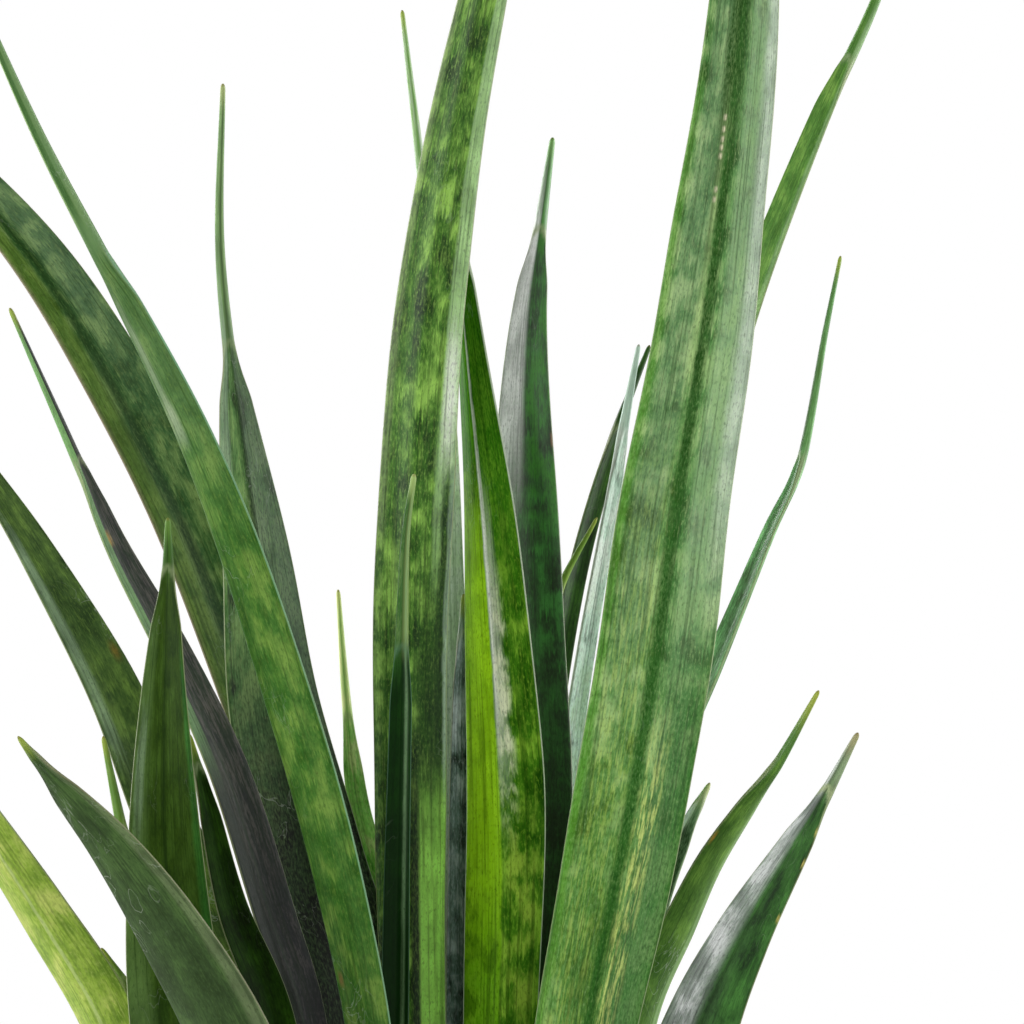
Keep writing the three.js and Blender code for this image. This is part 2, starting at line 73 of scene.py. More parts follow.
def linear(colour):
    """Turn sRGB hex text such as '#557e34' into the linear colour that a shader needs."""
    channels = [int(colour[start:start + 2], 16) / 255 for start in (1, 3, 5)]
    # The numbers are those of the sRGB standard: a short straight start, and then a power curve
    curved = [c / 12.92 if c <= 0.04045 else ((c + 0.055) / 1.055) ** 2.4 for c in channels]
    return (*curved, 1.0)


print("a leaf green in linear numbers:", [round(channel, 3) for channel in linear("#557e34")])

# %% [markdown]
# ## Nodes
#
# Every finish below is a tree of nodes: noises, masks made from them, and mixes of colours. The trees
# could be drawn by hand in the shader editor. In code, one small function adds a node, sets it and
# links it, so that a finish reads like a recipe from top to bottom.

# %% Add a node


def add(tree, kind, settings, sockets):
    """Add a node, set its properties, and give each socket a value or another node's output."""
    node = tree.nodes.new(kind)
    for name, value in settings.items():
        setattr(node, name, value)
    for key, value in sockets.items():
        if isinstance(value, bpy.types.NodeSocket):
            tree.links.new(value, node.inputs[key])
        else:
            node.inputs[key].default_value = value
    return node


def new_material(name):
    """A material with its node tree and its shader."""
    material = bpy.data.materials.new(name)
    material.use_nodes = True
    return material, material.node_tree, material.node_tree.nodes["Principled BSDF"]


ATTRIBUTE = "ShaderNodeAttribute"
COORDINATES = "ShaderNodeTexCoord"
MAPPING = "ShaderNodeMapping"
VECTOR = "ShaderNodeVectorMath"
NOISE = "ShaderNodeTexNoise"
CELLS = "ShaderNodeTexVoronoi"
MATH = "ShaderNodeMath"
RANGE = "ShaderNodeMapRange"
MIX = "ShaderNodeMix"
BUMP = "ShaderNodeBump"
SPLIT = "ShaderNodeSeparateXYZ"

# A maths node that gives socket 0 times socket 1, plus socket 2
TIMES_PLUS = {"operation": "MULTIPLY_ADD"}
# A range node takes its value in socket 0. Sockets 1 and 2 are where its mask starts and where it is
# full, and sockets 3 and 4 are what it gives there, 0 and 1 unless they are set
SMOOTH = {"interpolation_type": "SMOOTHSTEP"}
# Which sockets of a colour mix are its lower colour, its upper colour and its result
LOWER = 6
UPPER = 7
MIXED = 2

# %% [markdown]
# ## The leaves' routes
#
# Each leaf follows its own line from the rhizome to its point. A line could be drawn as a curve object. Here
# it is a few listed points, in the same order and with the same smooth rule as the frame's leaves, so that
# each new leaf fills the same space as the one that it replaces.

# %% Leaves at the left

# Heights above the pot's underside: the soil at the wall, and the leaves' lower ends
SOIL_TOP = 135
FOOT_Z = 113

# half: half the width where the leaf is widest. tip: length of the solid point. tip_radius: its radius
# where it starts. faces: where the channel looks at the foot and at the tip, in degrees round the
# plant. cup: depth of the channel against half the width. keel: 1.2 is a V and 2 is a U.
# widest: how far up it is widest. taper: how late it narrows. route: places from foot to tip.
# A leaf's place in the order of the rows seeds its pattern, so a new row goes at the end.
COMMON = {"tip": 40, "tip_radius": 1.7, "cup": 0.5, "keel": 1.5, "widest": 0.5, "taper": 1.6}
LEAVES = {
    "01_tall_left": dict(
        half=8.8, tip=92, tip_radius=2.6, faces=(60, 50), cup=0.3, widest=0.6,
        route=[(-12, -30, FOOT_Z), (-19, -34, 248), (-44, -41, 351), (-70, -47, 424),
               (-95, -53, 474), (-114, -58, 511), (-135, -63, 558)]),
    "02_broad_left": dict(
        half=11.6, tip=44, faces=(-55, -70), cup=0.4, keel=1.3, widest=0.6, taper=2.4,
        route=[(-18, 25, FOOT_Z), (-27, 25, 248), (-54, 27, 344), (-76, 30, 402), (-107, 34, 460),
               (-131, 38, 492), (-167, 44, 529), (-206, 52, 557)]),
    "03_needle_left": dict(
        half=17, tip=80, tip_radius=1.9, faces=(-72, -74), cup=0.4, widest=0.4, taper=2.2,
        route=[(-8, 9, FOOT_Z), (-21, 8, 248), (-36, 6, 294), (-47, 4, 340), (-53, 2, 388),
               (-59.5, 0, 443), (-63, -2, 482), (-62, -4, 530)]),
    "04_purple_channel": dict(
        half=8.2, tip=52, faces=(-40, -50), widest=0.6,
        route=[(-25, -8, FOOT_Z), (-38, -14, 248), (-48, -17, 281), (-61.5, -21, 325),
               (-77, -25, 359), (-94, -30, 392), (-104, -34, 416), (-124, -42, 462)]),
    "05_outer_left": dict(
        half=9.4, tip=34, faces=(-70, -70), cup=0.35, widest=0.6,
        route=[(-42, 13, FOOT_Z), (-57, 12, 248), (-83, 12, 315), (-97, 14, 350), (-119, 17, 389),
               (-139, 20, 420), (-160, 24, 455)]),
    "06_short_front_left": dict(
        half=16, tip=17, tip_radius=1.9, faces=(-80, -100), cup=0.4, widest=0.36,
        route=[(-50, -29, FOOT_Z), (-57.5, -35, 160), (-73, -46, 248), (-77.5, -52, 300),
               (-77.5, -57, 345), (-76.5, -60, 383), (-76.5, -62, 400)]),
    "07_low_front_left": dict(
        half=14, tip=8, tip_radius=1.5, faces=(70, 60), cup=0.35, taper=1.8,
        route=[(-30, -50, FOOT_Z), (-40, -62, 190), (-59.5, -74, 248), (-76, -81, 279),
               (-93, -87, 304), (-107, -91, 321), (-119, -95, 336.5)]),
    "08_young_left": dict(
        half=3.8, tip=30, tip_radius=1.8, faces=(-70, -70),
        route=[(-58, -12, FOOT_Z), (-80, -22, 250), (-90, -25, 300), (-97, -26, 335)]),
    "09_lime_left": dict(
        half=10, tip=24, faces=(60, 60), keel=1.2, taper=2,
        route=[(-64, 2, FOOT_Z), (-78, -8, 190), (-96.5, -18, 248), (-116, -24, 282),
               (-144, -32, 327), (-164, -38, 366)]),
    "10_sprout_left": dict(
        half=4, tip=14, faces=(-60, -60),
        route=[(-62, 16, FOOT_Z), (-76, 16, 200), (-88, 18, 251), (-99.5, 20, 270)]),
    "12_low_left": dict(
        half=7, tip=12, faces=(-66, -66),
        route=[(-38, -28, FOOT_Z), (-46, -36, 248), (-59, -38, 285), (-66, -39, 315),
               (-71, -40, 336)]),
}
print("leaves at the left:", len(LEAVES))

# %% Leaves in the middle

LEAVES.update({
    "11_young_centre": dict(
        half=4.2, tip=41, tip_radius=1.6, faces=(-90, -90), widest=0.7,
        route=[(-8, 38, FOOT_Z), (-11, 40, 248), (-18, 44, 294), (-22.5, 46, 314), (-26, 49, 345),
               (-28.5, 52, 378)]),
    "13_tall_centre": dict(
        half=11.4, tip=42, tip_radius=2.2, faces=(90, 84), cup=0.4, keel=1.8, widest=0.55, taper=1.5,
        route=[(-2, -6, FOOT_Z), (-5, -6, 248), (-6, -6, 355), (-3, -6, 429), (4, -4, 495),
               (15.5, 1, 555), (28.5, 8, 615), (38, 17, 682)]),
    "14_slim_front": dict(
        half=4.3, tip=54, tip_radius=2.1, faces=(-80, -90), widest=0.4,
        route=[(-12, -16, FOOT_Z), (-10.5, -20, 248), (-9.5, -20, 305), (-8.5, -21, 350),
               (-7, -22, 395), (-4.5, -23, 413)]),
    "15_grey_centre": dict(
        half=4.3, tip=14, faces=(-80, -80),
        route=[(7.5, 12, FOOT_Z), (8.6, 13, 248), (8.8, 13, 315), (9.5, 13, 350), (10, 13, 377)]),
    "16_keeled_centre": dict(
        half=12, tip=24, faces=(118, 42), keel=1.2, cup=0.55, widest=0.55, taper=1.5,
        route=[(16, -12, FOOT_Z), (21, -7, 248), (22.2, -4, 300), (20.4, 0, 345), (16.5, 6, 400),
               (11, 12, 455), (6, 16, 508)]),
    "17_tall_back_centre": dict(
        half=8.3, tip=66, faces=(-70, -75),
        route=[(3, 23, FOOT_Z), (3.5, 27, 315), (3, 31, 375), (2, 36, 430), (-0.5, 43, 480),
               (-9, 56, 555)]),
    "18_banded_centre": dict(
        half=13.6, tip=31, tip_radius=2.1, faces=(-80, -88), cup=0.4, taper=1.8,
        route=[(23, 12, FOOT_Z), (27.5, 21, 248), (29, 24, 325), (28.2, 27, 400), (29.5, 31, 459),
               (33, 35, 487), (37, 40, 515.5)]),
})
print("with the middle:", len(LEAVES))

# %% Leaves at the right

LEAVES.update({
    "19_dark_back_right": dict(
        half=4.8, tip=30, faces=(-60, -60),
        route=[(25, 36, FOOT_Z), (29, 48, 248), (33, 53, 315), (42.6, 61, 377), (55.5, 70, 423),
               (67, 78, 453)]),
    "20_small_back_right": dict(
        half=3.2, tip=26, tip_radius=1.3, faces=(-80, -80),
        route=[(34, 22, FOOT_Z), (31, 35, 248), (33, 38, 339), (38, 40, 375), (50.5, 44, 400)]),
    "21_sage_back_right": dict(
        half=4.8, tip=30, faces=(-45, -45), cup=0.35,
        route=[(41, 30, FOOT_Z), (38, 40, 248), (41.7, 45, 325), (46.5, 49, 360), (54, 55, 402),
               (63.5, 64, 453)]),
    "22_broad_right": dict(
        half=17.2, tip=42, tip_radius=2.6, faces=(-88, -96), cup=0.42, keel=1.3, widest=0.44, taper=1.5,
        route=[(28, -27, FOOT_Z), (46.5, -30, 248), (61.4, -33, 325), (72.8, -37, 401.5),
               (84.7, -42, 478), (93.5, -48, 555), (98, -54, 635), (99, -60, 705)]),
    "23_upper_right": dict(
        half=7.2, tip=62, tip_radius=2, faces=(-120, -120),
        route=[(44, 13, FOOT_Z), (49, 17, 248), (61, 22, 325), (78, 31, 399), (96, 43, 462),
               (118.5, 57, 520), (135.5, 67, 557), (149, 77, 594)]),
    "24_needle_right": dict(
        half=7, tip=66, tip_radius=1.5, faces=(-150, -150), widest=0.6,
        route=[(42, -4, FOOT_Z), (51, 1, 248), (74, 8, 326), (86.5, 13, 355), (103, 21, 395),
               (111, 25, 413), (120, 34, 458), (124.5, 40, 479.5)]),
    "25_outer_right": dict(
        half=8.4, tip=27, faces=(130, 130), cup=0.35,
        route=[(49, -17, FOOT_Z), (62.5, -14, 248), (76, -14, 279), (84.5, -15, 297),
               (95.4, -17, 314), (103.5, -19, 326), (116, -22, 348.5)]),
    "26_low_front_right": dict(
        half=13.6, tip=21, tip_radius=2, faces=(-100, -115), cup=0.42, taper=1.3,
        route=[(47, -34, FOOT_Z), (55, -38, 155), (80.4, -49, 248), (93, -55, 276),
               (107.4, -62, 302), (116.2, -66, 318), (126, -71, 337)]),
    "27_young_right": dict(
        half=6.2, tip=8, tip_radius=1.6, faces=(-100, -100),
        route=[(57, 0, FOOT_Z), (60, 8, 248), (68, 11, 283), (77.6, 14, 307), (84.3, 16, 320)]),
})
print("with the right:", len(LEAVES))

# %% Leaves at the back, and short ones low at the pot

LEAVES.update({
    "28_back_right": dict(
        half=9, tip=30, faces=(-100, -100),
        route=[(36, 48, FOOT_Z), (45, 64, 248), (63, 86, 330), (76, 106, 405), (88, 130, 490)]),
    "29_back_centre": dict(
        half=8, tip=34, faces=(-90, -90),
        route=[(0, 52, FOOT_Z), (-3, 64, 248), (-4, 88, 380), (-3, 110, 478)]),
    "30_back_left": dict(
        half=7.4, tip=26, faces=(-80, -80),
        route=[(-24, 42, FOOT_Z), (-35, 58, 248), (-47, 78, 320), (-52, 94, 380)]),
    "31_back_middle_right": dict(
        half=8, tip=28, faces=(-90, -90),
        route=[(14, 50, FOOT_Z), (17, 72, 248), (22, 94, 340), (26, 112, 412)]),
    "32_back_outer_left": dict(
        half=5.6, tip=16, faces=(-50, -50),
        route=[(-46, 34, FOOT_Z), (-66, 46, 230), (-79, 56, 290), (-84, 62, 330)]),
    "33_back_outer_right": dict(
        half=6.4, tip=16, faces=(-110, -110),
        route=[(56, 22, FOOT_Z), (60, 40, 230), (66, 55, 290), (69, 68, 330)]),
    "34_back_tall_left": dict(
        half=6.4, tip=34, faces=(-60, -60),
        route=[(-36, 28, FOOT_Z), (-42, 48, 248), (-61, 64, 344), (-82, 74, 402), (-108, 82, 452)]),
    "35_short_front": dict(
        half=8, tip=10, faces=(90, 90),
        route=[(-8, -58, FOOT_Z), (-14, -74, 170), (-22, -96, 212), (-28, -118, 236)]),
    "36_short_front_right": dict(
        half=8.4, tip=10, faces=(100, 100),
        route=[(20, -54, FOOT_Z), (27, -70, 170), (36, -92, 210), (44, -114, 234)]),
    "37_short_back": dict(
        half=7.4, tip=10, faces=(-90, -90),
        route=[(-8, 58, FOOT_Z), (-11, 70, 158), (-16, 104, 212), (-18, 128, 238)]),
    "38_short_back_left": dict(
        half=7, tip=10, faces=(-50, -50),
        route=[(-32, 54, FOOT_Z), (-42, 64, 158), (-60, 88, 210), (-74, 106, 238)]),
    "39_short_back_right": dict(
        half=7, tip=10, faces=(-130, -130),
        route=[(46, 38, FOOT_Z), (54, 44, 155), (80, 66, 206), (100, 84, 236)]),
    "40_short_right": dict(
        half=7.4, tip=10, faces=(170, 170),
        route=[(60, -12, FOOT_Z), (69, -14, 155), (98, -19, 204), (122, -24, 238)]),
})
print("leaves:", len(LEAVES))

# %% [markdown]
# ## A smooth line through a leaf's points
#
# A stiff leaf bends in one slow curve, so its few points have to be joined without a corner. Blender's
# own curves could join them, but not by the rule that the frame's leaves were drawn with. That rule,
# the centripetal Catmull-Rom curve, takes a few lines to write out, and it doesn't overshoot where
# two points lie close together.

# %% A smooth line

SAMPLES_PER_SPAN = 60


def smooth_line(points):
    """Centripetal Catmull-Rom samples through the points, as an array of millimetres."""
    given = np.array(points, float)
    before = 2 * given[0] - given[1]
    after = 2 * given[-1] - given[-2]
    padded = np.vstack([before, given, after])
    samples = []
    for span in range(len(given) - 1):
        p0, p1, p2, p3 = padded[span:span + 4]
        d0, d1, d2 = [math.sqrt(np.linalg.norm(b - a)) for a, b in ((p0, p1), (p1, p2), (p2, p3))]
        leave = ((p1 - p0) / d0 - (p2 - p0) / (d0 + d1) + (p2 - p1) / d1) * d1
        arrive = ((p2 - p1) / d1 - (p3 - p1) / (d1 + d2) + (p3 - p2) / d2) * d1
        t = np.linspace(0, 1, SAMPLES_PER_SPAN, endpoint=False)[:, None]
        square = -3 * p1 + 3 * p2 - 2 * leave - arrive
        cube = 2 * p1 - 2 * p2 + leave + arrive
        samples.append(p1 + leave * t + square * t ** 2 + cube * t ** 3)
    samples.append(given[-1:])
    return np.vstack(samples)


def measured(line):
    """The distance along the line at each of its samples."""
    steps = np.linalg.norm(np.diff(line, axis=0), axis=1)
    return np.concatenate([[0], np.cumsum(steps)])


def at(line, reach, distances):
    """Points of the line at those distances."""
    return np.stack([np.interp(distances, reach, line[:, axis]) for axis in range(3)], axis=1)


tallest = smooth_line(LEAVES["22_broad_right"]["route"])
print("the broad right leaf is", round(measured(tallest)[-1]), "mm long")

# %% [markdown]
# ## One leaf
#
# A leaf of this plant is a thick strip folded into a channel. It has a rounded margin, a thick
# middle, a solid oval foot and a solid round point, and the channel ends in a small arch below the
# point. It could be a Bezier curve with a bevel, but a bevel keeps one section from end to end. So a
# flat grid is wrapped round the leaf's line: one way of the grid runs up the leaf, and the other
# runs round the section.

# %% Width and keel of a leaf

# How wide the foot is: a base, and a share of the leaf's own half width
FOOT_WIDTH_BASE = 1.2
FOOT_WIDTH_RATE = 0.42
# Width of the blade at the shoulder, in radii of the point
SHOULDER_WIDTH = 1.5
# How round the keel is, as a share of half the width
KEEL_SOFTNESS = 0.18


def smoothstep(value, low, high):
    """0 up to low and 1 from high on, with a soft bend at both."""
    part = np.clip((value - low) / (high - low), 0, 1)
    return part * part * (3 - 2 * part)


def half_width(leaf, distance, blade):
    """Half the blade's width at a distance from the foot."""
    foot = FOOT_WIDTH_BASE + FOOT_WIDTH_RATE * leaf["half"]
    shoulder = SHOULDER_WIDTH * leaf["tip_radius"]
    along = np.clip(distance / blade, 0, 1)
    rising = foot + (leaf["half"] - foot) * np.sin(math.pi / 2 * np.minimum(along / leaf["widest"], 1))
    narrowed = np.clip((along - leaf["widest"]) / (1 - leaf["widest"]), 0, 1)
    falling = shoulder + (leaf["half"] - shoulder) * (1 - narrowed ** leaf["taper"])
    return np.where(along < leaf["widest"], rising, falling)


def keel_shape(across, keel):
    """How far the outer face stands up towards the channel side: 0 at the keel, 1 at the margin."""
    floor = KEEL_SOFTNESS ** keel
    rise = (across ** 2 + KEEL_SOFTNESS ** 2) ** (keel / 2) - floor
    return rise / ((1 + KEEL_SOFTNESS ** 2) ** (keel / 2) - floor)


widths = [2 * row["half"] for row in LEAVES.values()]
print("leaf widths from", min(widths), "to", max(widths), "mm")

# %% Section of the blade

EDGE_THICKNESS = 0.9
MIDDLE_THICKNESS_BASE = 1.0
MIDDLE_THICKNESS_RATE = 0.22
# How much of the channel's depth lies behind the leaf's line
SECTION_SHIFT = 0.45
# Slow waves of the margins and of the channel's two walls, as a share of the width. They grow from the
# foot up, and the phases, in radians, set leaf from leaf and margin from margin
MARGIN_WAVE = 0.02
MARGIN_WAVE_LENGTH = 85
MARGIN_WAVE_FROM = 60
MARGIN_WAVE_FULL = 140
MARGIN_PHASE_LEAF = 2.1
MARGIN_PHASE_SIDE = 1.3
WALL_WAVE = 0.05
WALL_WAVE_RADIAN = 61
WALL_PHASE_LEAF = 1.7


def blade_section(leaf, distance, across, side, blade, seed):
    """The blade's half width, and how far out its faces lie: a folded strip with half-round rims."""
    wave = np.sin(distance / MARGIN_WAVE_LENGTH * 2 * math.pi
                  + seed * MARGIN_PHASE_LEAF + across * MARGIN_PHASE_SIDE)
    wave_grown = smoothstep(distance, MARGIN_WAVE_FROM, MARGIN_WAVE_FULL)
    half = half_width(leaf, distance, blade) * (1 + MARGIN_WAVE * wave * wave_grown)
    wall_wave = np.sin(distance / WALL_WAVE_RADIAN + seed * WALL_PHASE_LEAF + across)
    depth = leaf["cup"] * half * (1 + WALL_WAVE * wall_wave)
    middle = MIDDLE_THICKNESS_BASE + MIDDLE_THICKNESS_RATE * half
    thickness = EDGE_THICKNESS + (middle - EDGE_THICKNESS) * (1 - across ** 2)
    rim = EDGE_THICKNESS / 2 / half
    past_rim = np.clip((np.abs(across) - (1 - rim)) / rim, 0, 1)
    wall = thickness / 2 * np.sqrt(1 - past_rim ** 2)
    centre = depth * (keel_shape(across, leaf["keel"]) - SECTION_SHIFT) + thickness / 2
    return half, centre + side * wall


thickest = MIDDLE_THICKNESS_BASE + MIDDLE_THICKNESS_RATE * LEAVES["22_broad_right"]["half"]
print("the broad right leaf is", round(thickest, 1), "mm thick in the middle")

# %% Section of the whole leaf, from its foot to its point

FOOT_THICKNESS_BASE = 1.3
FOOT_THICKNESS_RATE = 0.19
# The foot is solid up to the first of these, and the channel is fully open from the second
FOOT_SOLID_TO = 34
FOOT_OPEN_FROM = 95
# The blade closes over this length below the point, and over this much of the point
SHOULDER_LENGTH = 16
SHOULDER_PAST = 4
# The channel side closes over a shorter stretch than the outer side, which makes the arch, and in the
# middle of the channel that stretch is shortest
THROAT_LENGTH = 7
THROAT_MIDDLE = 0.4
# The point narrows to this share of its radius, and its last stretch is rounded off
TIP_END = 0.4
POINT_LENGTH = 1.8
# A sine closer to 0 than this is the margin itself
ON_MARGIN = 1e-6


def section(leaf, length, distance, turn, seed):
    """Across and outward measures of the section, and facts about each place for the finish.

    distance is a column of stations and turn a row of angles round the section: 0 is one margin,
    half a turn is the other, the outer face comes first and the channel side second."""
    across = np.cos(turn)
    side = np.where(np.abs(np.sin(turn)) < ON_MARGIN, 0, -np.sign(np.sin(turn)))
    blade = length - leaf["tip"]
    half, blade_out = blade_section(leaf, distance, across, side, blade, seed)

    # The foot is a solid oval
    foot_half = FOOT_THICKNESS_BASE + FOOT_THICKNESS_RATE * leaf["half"]
    round_out = -np.sin(turn)
    footness = 1 - smoothstep(distance, FOOT_SOLID_TO, FOOT_OPEN_FROM)
    lower_out = blade_out + (foot_half * round_out - blade_out) * footness
    lower_across = half * across

    # The point is round, and its end is closed
    beyond = np.clip((distance - blade) / leaf["tip"], 0, 1)
    radius = leaf["tip_radius"] * (1 - (1 - TIP_END) * beyond)
    end = np.clip((distance - (length - POINT_LENGTH)) / POINT_LENGTH, 0, 1)
    radius = radius * np.sqrt(np.maximum(1 - end ** 2, 0))
    closing_outer = smoothstep(distance, blade - SHOULDER_LENGTH, blade + SHOULDER_PAST)
    throat = THROAT_LENGTH * (THROAT_MIDDLE + (1 - THROAT_MIDDLE) * np.abs(across))
    closing_inner = smoothstep(distance, blade + SHOULDER_PAST - throat, blade + SHOULDER_PAST)
    closing = np.where(side > 0, closing_inner, closing_outer)
    outward = lower_out + (radius * round_out - lower_out) * closing
    sideways = lower_across + (radius * across - lower_across) * closing_outer

    # The arch is strongest half way through the closing, and the edge is in millimetres from the margin
    arch = np.where(side > 0, 4 * closing_inner * (1 - closing_inner), 0)
    edge = (1 - np.abs(across)) * half
    return sideways, outward, side * np.ones_like(half), edge, arch


foot_widths = [2 * (FOOT_WIDTH_BASE + FOOT_WIDTH_RATE * row["half"]) for row in LEAVES.values()]
print("the feet are", round(min(foot_widths), 1), "to", round(max(foot_widths), 1), "mm wide")

# %% [markdown]
# ## Wrapping the grid
#
# The section now has to travel up the line. Rows of the grid could be spaced evenly, but the shoulder
# and the point bend over a few millimetres while the blade hardly changes, so the rows stand closer
# there. Each vertex also keeps where it is on the leaf, in attributes that the finish reads later.

# %% Rows up the leaf

ROUND_STEPS = 32
BLADE_STEP = 4.0
BLADE_ROWS_LEAST = 4
SHOULDER_ROWS = 16
TIP_STEP = 2.5
TIP_ROWS_LEAST = 2
POINT_STEPS = 5


def stations(leaf, length):
    """Distances up the leaf at which the grid has a row: even up the blade, closer at the tip."""
    blade = length - leaf["tip"]
    shoulder = blade - SHOULDER_LENGTH
    closed = blade + SHOULDER_PAST
    point = length - POINT_LENGTH
    blade_rows = max(BLADE_ROWS_LEAST, round(shoulder / BLADE_STEP))
    tip_rows = max(TIP_ROWS_LEAST, round((point - closed) / TIP_STEP))
    up_blade = np.linspace(0, shoulder, blade_rows, endpoint=False)
    round_shoulder = np.linspace(shoulder, closed, SHOULDER_ROWS, endpoint=False)
    up_tip = np.linspace(closed, point, tip_rows, endpoint=False)
    quarter = np.linspace(0, math.pi / 2, POINT_STEPS)
    return np.concatenate([up_blade, round_shoulder, up_tip, point + POINT_LENGTH * np.sin(quarter)])


tallest_row = {**COMMON, **LEAVES["22_broad_right"]}
print("rows of the broad right leaf:", len(stations(tallest_row, measured(tallest)[-1])))

# %% Places on a leaf's skin

# Millimetres that part the pattern of one face from the other's, and of one leaf from the next
GRAIN_SIDE_SHIFT = 5
GRAIN_SEED_SHIFT = 37


def leaf_skin(leaf, seed):
    """Places on the skin in millimetres, a row of them for each station, and the finish's attributes."""
    line = smooth_line(leaf["route"])
    reach = measured(line)
    length = reach[-1]
    distance = stations(leaf, length)
    rows = len(distance)
    turn = np.linspace(0, 2 * math.pi, ROUND_STEPS + 1)
    sideways, outward, side, edge, arch = section(leaf, length, distance[:, None], turn[None, :], seed)

    # At each row, forward runs up the leaf, inward looks out of the channel, and beside crosses both
    centre = at(line, reach, distance)
    ahead = at(line, reach, np.minimum(distance + 1, length)) - at(line, reach, np.maximum(distance - 1, 0))
    forward = ahead / np.linalg.norm(ahead, axis=1)[:, None]
    looks = np.radians(leaf["faces"][0] + (leaf["faces"][1] - leaf["faces"][0]) * distance / length)
    look = np.stack([np.cos(looks), np.sin(looks), np.zeros(rows)], axis=1)
    inward = look - forward * np.sum(look * forward, axis=1)[:, None]
    inward /= np.linalg.norm(inward, axis=1)[:, None]
    beside = np.cross(forward, inward)
    places = centre[:, None] + beside[:, None] * sideways[..., None] + inward[:, None] * outward[..., None]
    # The lowest row slides along the leaf until it is level
    level = (FOOT_Z - places[0, :, 2]) / forward[0, 2]
    places[0] += forward[0] * level[:, None]

    across = np.cos(turn)[None, :] * np.ones((rows, 1))
    along = distance[:, None] * np.ones_like(across)
    shift = side * GRAIN_SIDE_SHIFT + seed * GRAIN_SEED_SHIFT
    return places, {
        "grain": np.stack([across * leaf["half"], along, shift], axis=2),
        "place": np.stack([across, along, length - along], axis=2),
        "face": np.stack([side, edge, arch], axis=2),
    }


print("places on the broad right leaf:", leaf_skin(tallest_row, seed=0)[0].size // 3)

# %% Wrap a grid round a leaf's line

# Vertices closer than this, in millimetres, become one
WELD = 0.004


def wrapped_leaf(name, leaf, seed):
    """The leaf's mesh, in metres, with its attributes, and how many open edges it has."""
    places, attributes = leaf_skin(leaf, seed)
    bm = bmesh.new()
    bmesh.ops.create_grid(bm, x_segments=ROUND_STEPS, y_segments=len(places) - 1, size=0.5)
    layers = [(bm.verts.layers.float_vector.new(key), values.reshape(-1, 3))
              for key, values in attributes.items()]
    flat = places.reshape(-1, 3) * MM
    for index, vertex in enumerate(bm.verts):
        vertex.co = flat[index]
        for layer, values in layers:
            vertex[layer] = values[index]
    # The two long sides of the grid meet at a margin, its last row closes on the point, and a face
    # closes the foot
    bmesh.ops.remove_doubles(bm, verts=bm.verts, dist=WELD * MM)
    open_edges = [edge for edge in bm.edges if edge.is_boundary]
    bmesh.ops.contextual_create(bm, geom=open_edges)
    bmesh.ops.recalc_face_normals(bm, faces=bm.faces)
    mesh = bpy.data.meshes.new(name)
    bm.to_mesh(mesh)
    still_open = sum(edge.is_boundary for edge in bm.edges)
    bm.free()
    mesh.shade_smooth()
    return mesh, still_open


trial, still_open = wrapped_leaf("trial", tallest_row, seed=0)
print("faces of the broad right leaf:", len(trial.polygons), "and open edges:", still_open)
bpy.data.meshes.remove(trial)

# %% [markdown]
# ## Leaf cuticle
#
# The skin of these leaves is a smooth, slightly waxy cuticle over fibres that run up the leaf. The eye
# sees dark green with paler, ragged patches made of short streaks, a thin pale margin, a yellow-green
# point with a brown end, and here and there a dry scuff. A picture could be painted for each
# leaf. Here noise is stretched along the leaf, on attributes that follow the surface, because then
# every streak bends with its own leaf and nothing repeats.

# %% What all leaves share

# Real width and length of the patterns, in millimetres. The finest lines of the real leaf are
# thinner than the dots, which are drawn as coarse as they need to be to show. The streaks come first,
# because they fray the patches and the bands.
PATTERNS = {"streak": (0.9, 10), "dot": (0.6, 1.7), "fibre": (0.95, 60), "cloud": (24, 62),
            "patch": (8, 12), "band": (30, 5.5)}


def area(colour, strength, across, along, soft=0.15, fade=14, broken=""):
    """A part of a leaf with a colour of its own, a mark, a painted sheen or painted shade: from and to
    across, -1 to 1, and up the leaf in mm.

    broken names the pattern that lets the leaf's other tones through."""
    return dict(colour=colour, strength=strength, across=across, along=along, soft=soft, fade=fade,
                broken=broken)


# The greens of the ground and its patches, how much of the leaf the pale ones cover, the channel's
# line, the margin, the point, and how much of each is there
BASE_LOOK = dict(
    ground="#3a6824", pale="#76993f", deep="#28511a", cover=0.5, band=0.0, groove=0.35, line="#1c3d10",
    margin="#a9b788", margin_dry="#7b5a4c", point="#5f8c44", tip="#a3b446", tip_length=9, arch=0.4,
    scuff=0.25, rough=0.34, gloss=0.3, inner=None, areas=())
DARK = dict(ground="#214117", pale="#3b6427", deep="#172f10")
SAGE = dict(ground="#557c4b", pale="#86a86c", deep="#3c6236")
LIME = dict(ground="#7d9a38", pale="#a9c060", deep="#5c8428")
SLOT_LOOKS = {"dark_leaf": DARK, "mottled_leaf": {}, "sage_leaf": SAGE, "lime_leaf": LIME}
print("patterns on a leaf:", ", ".join(PATTERNS))
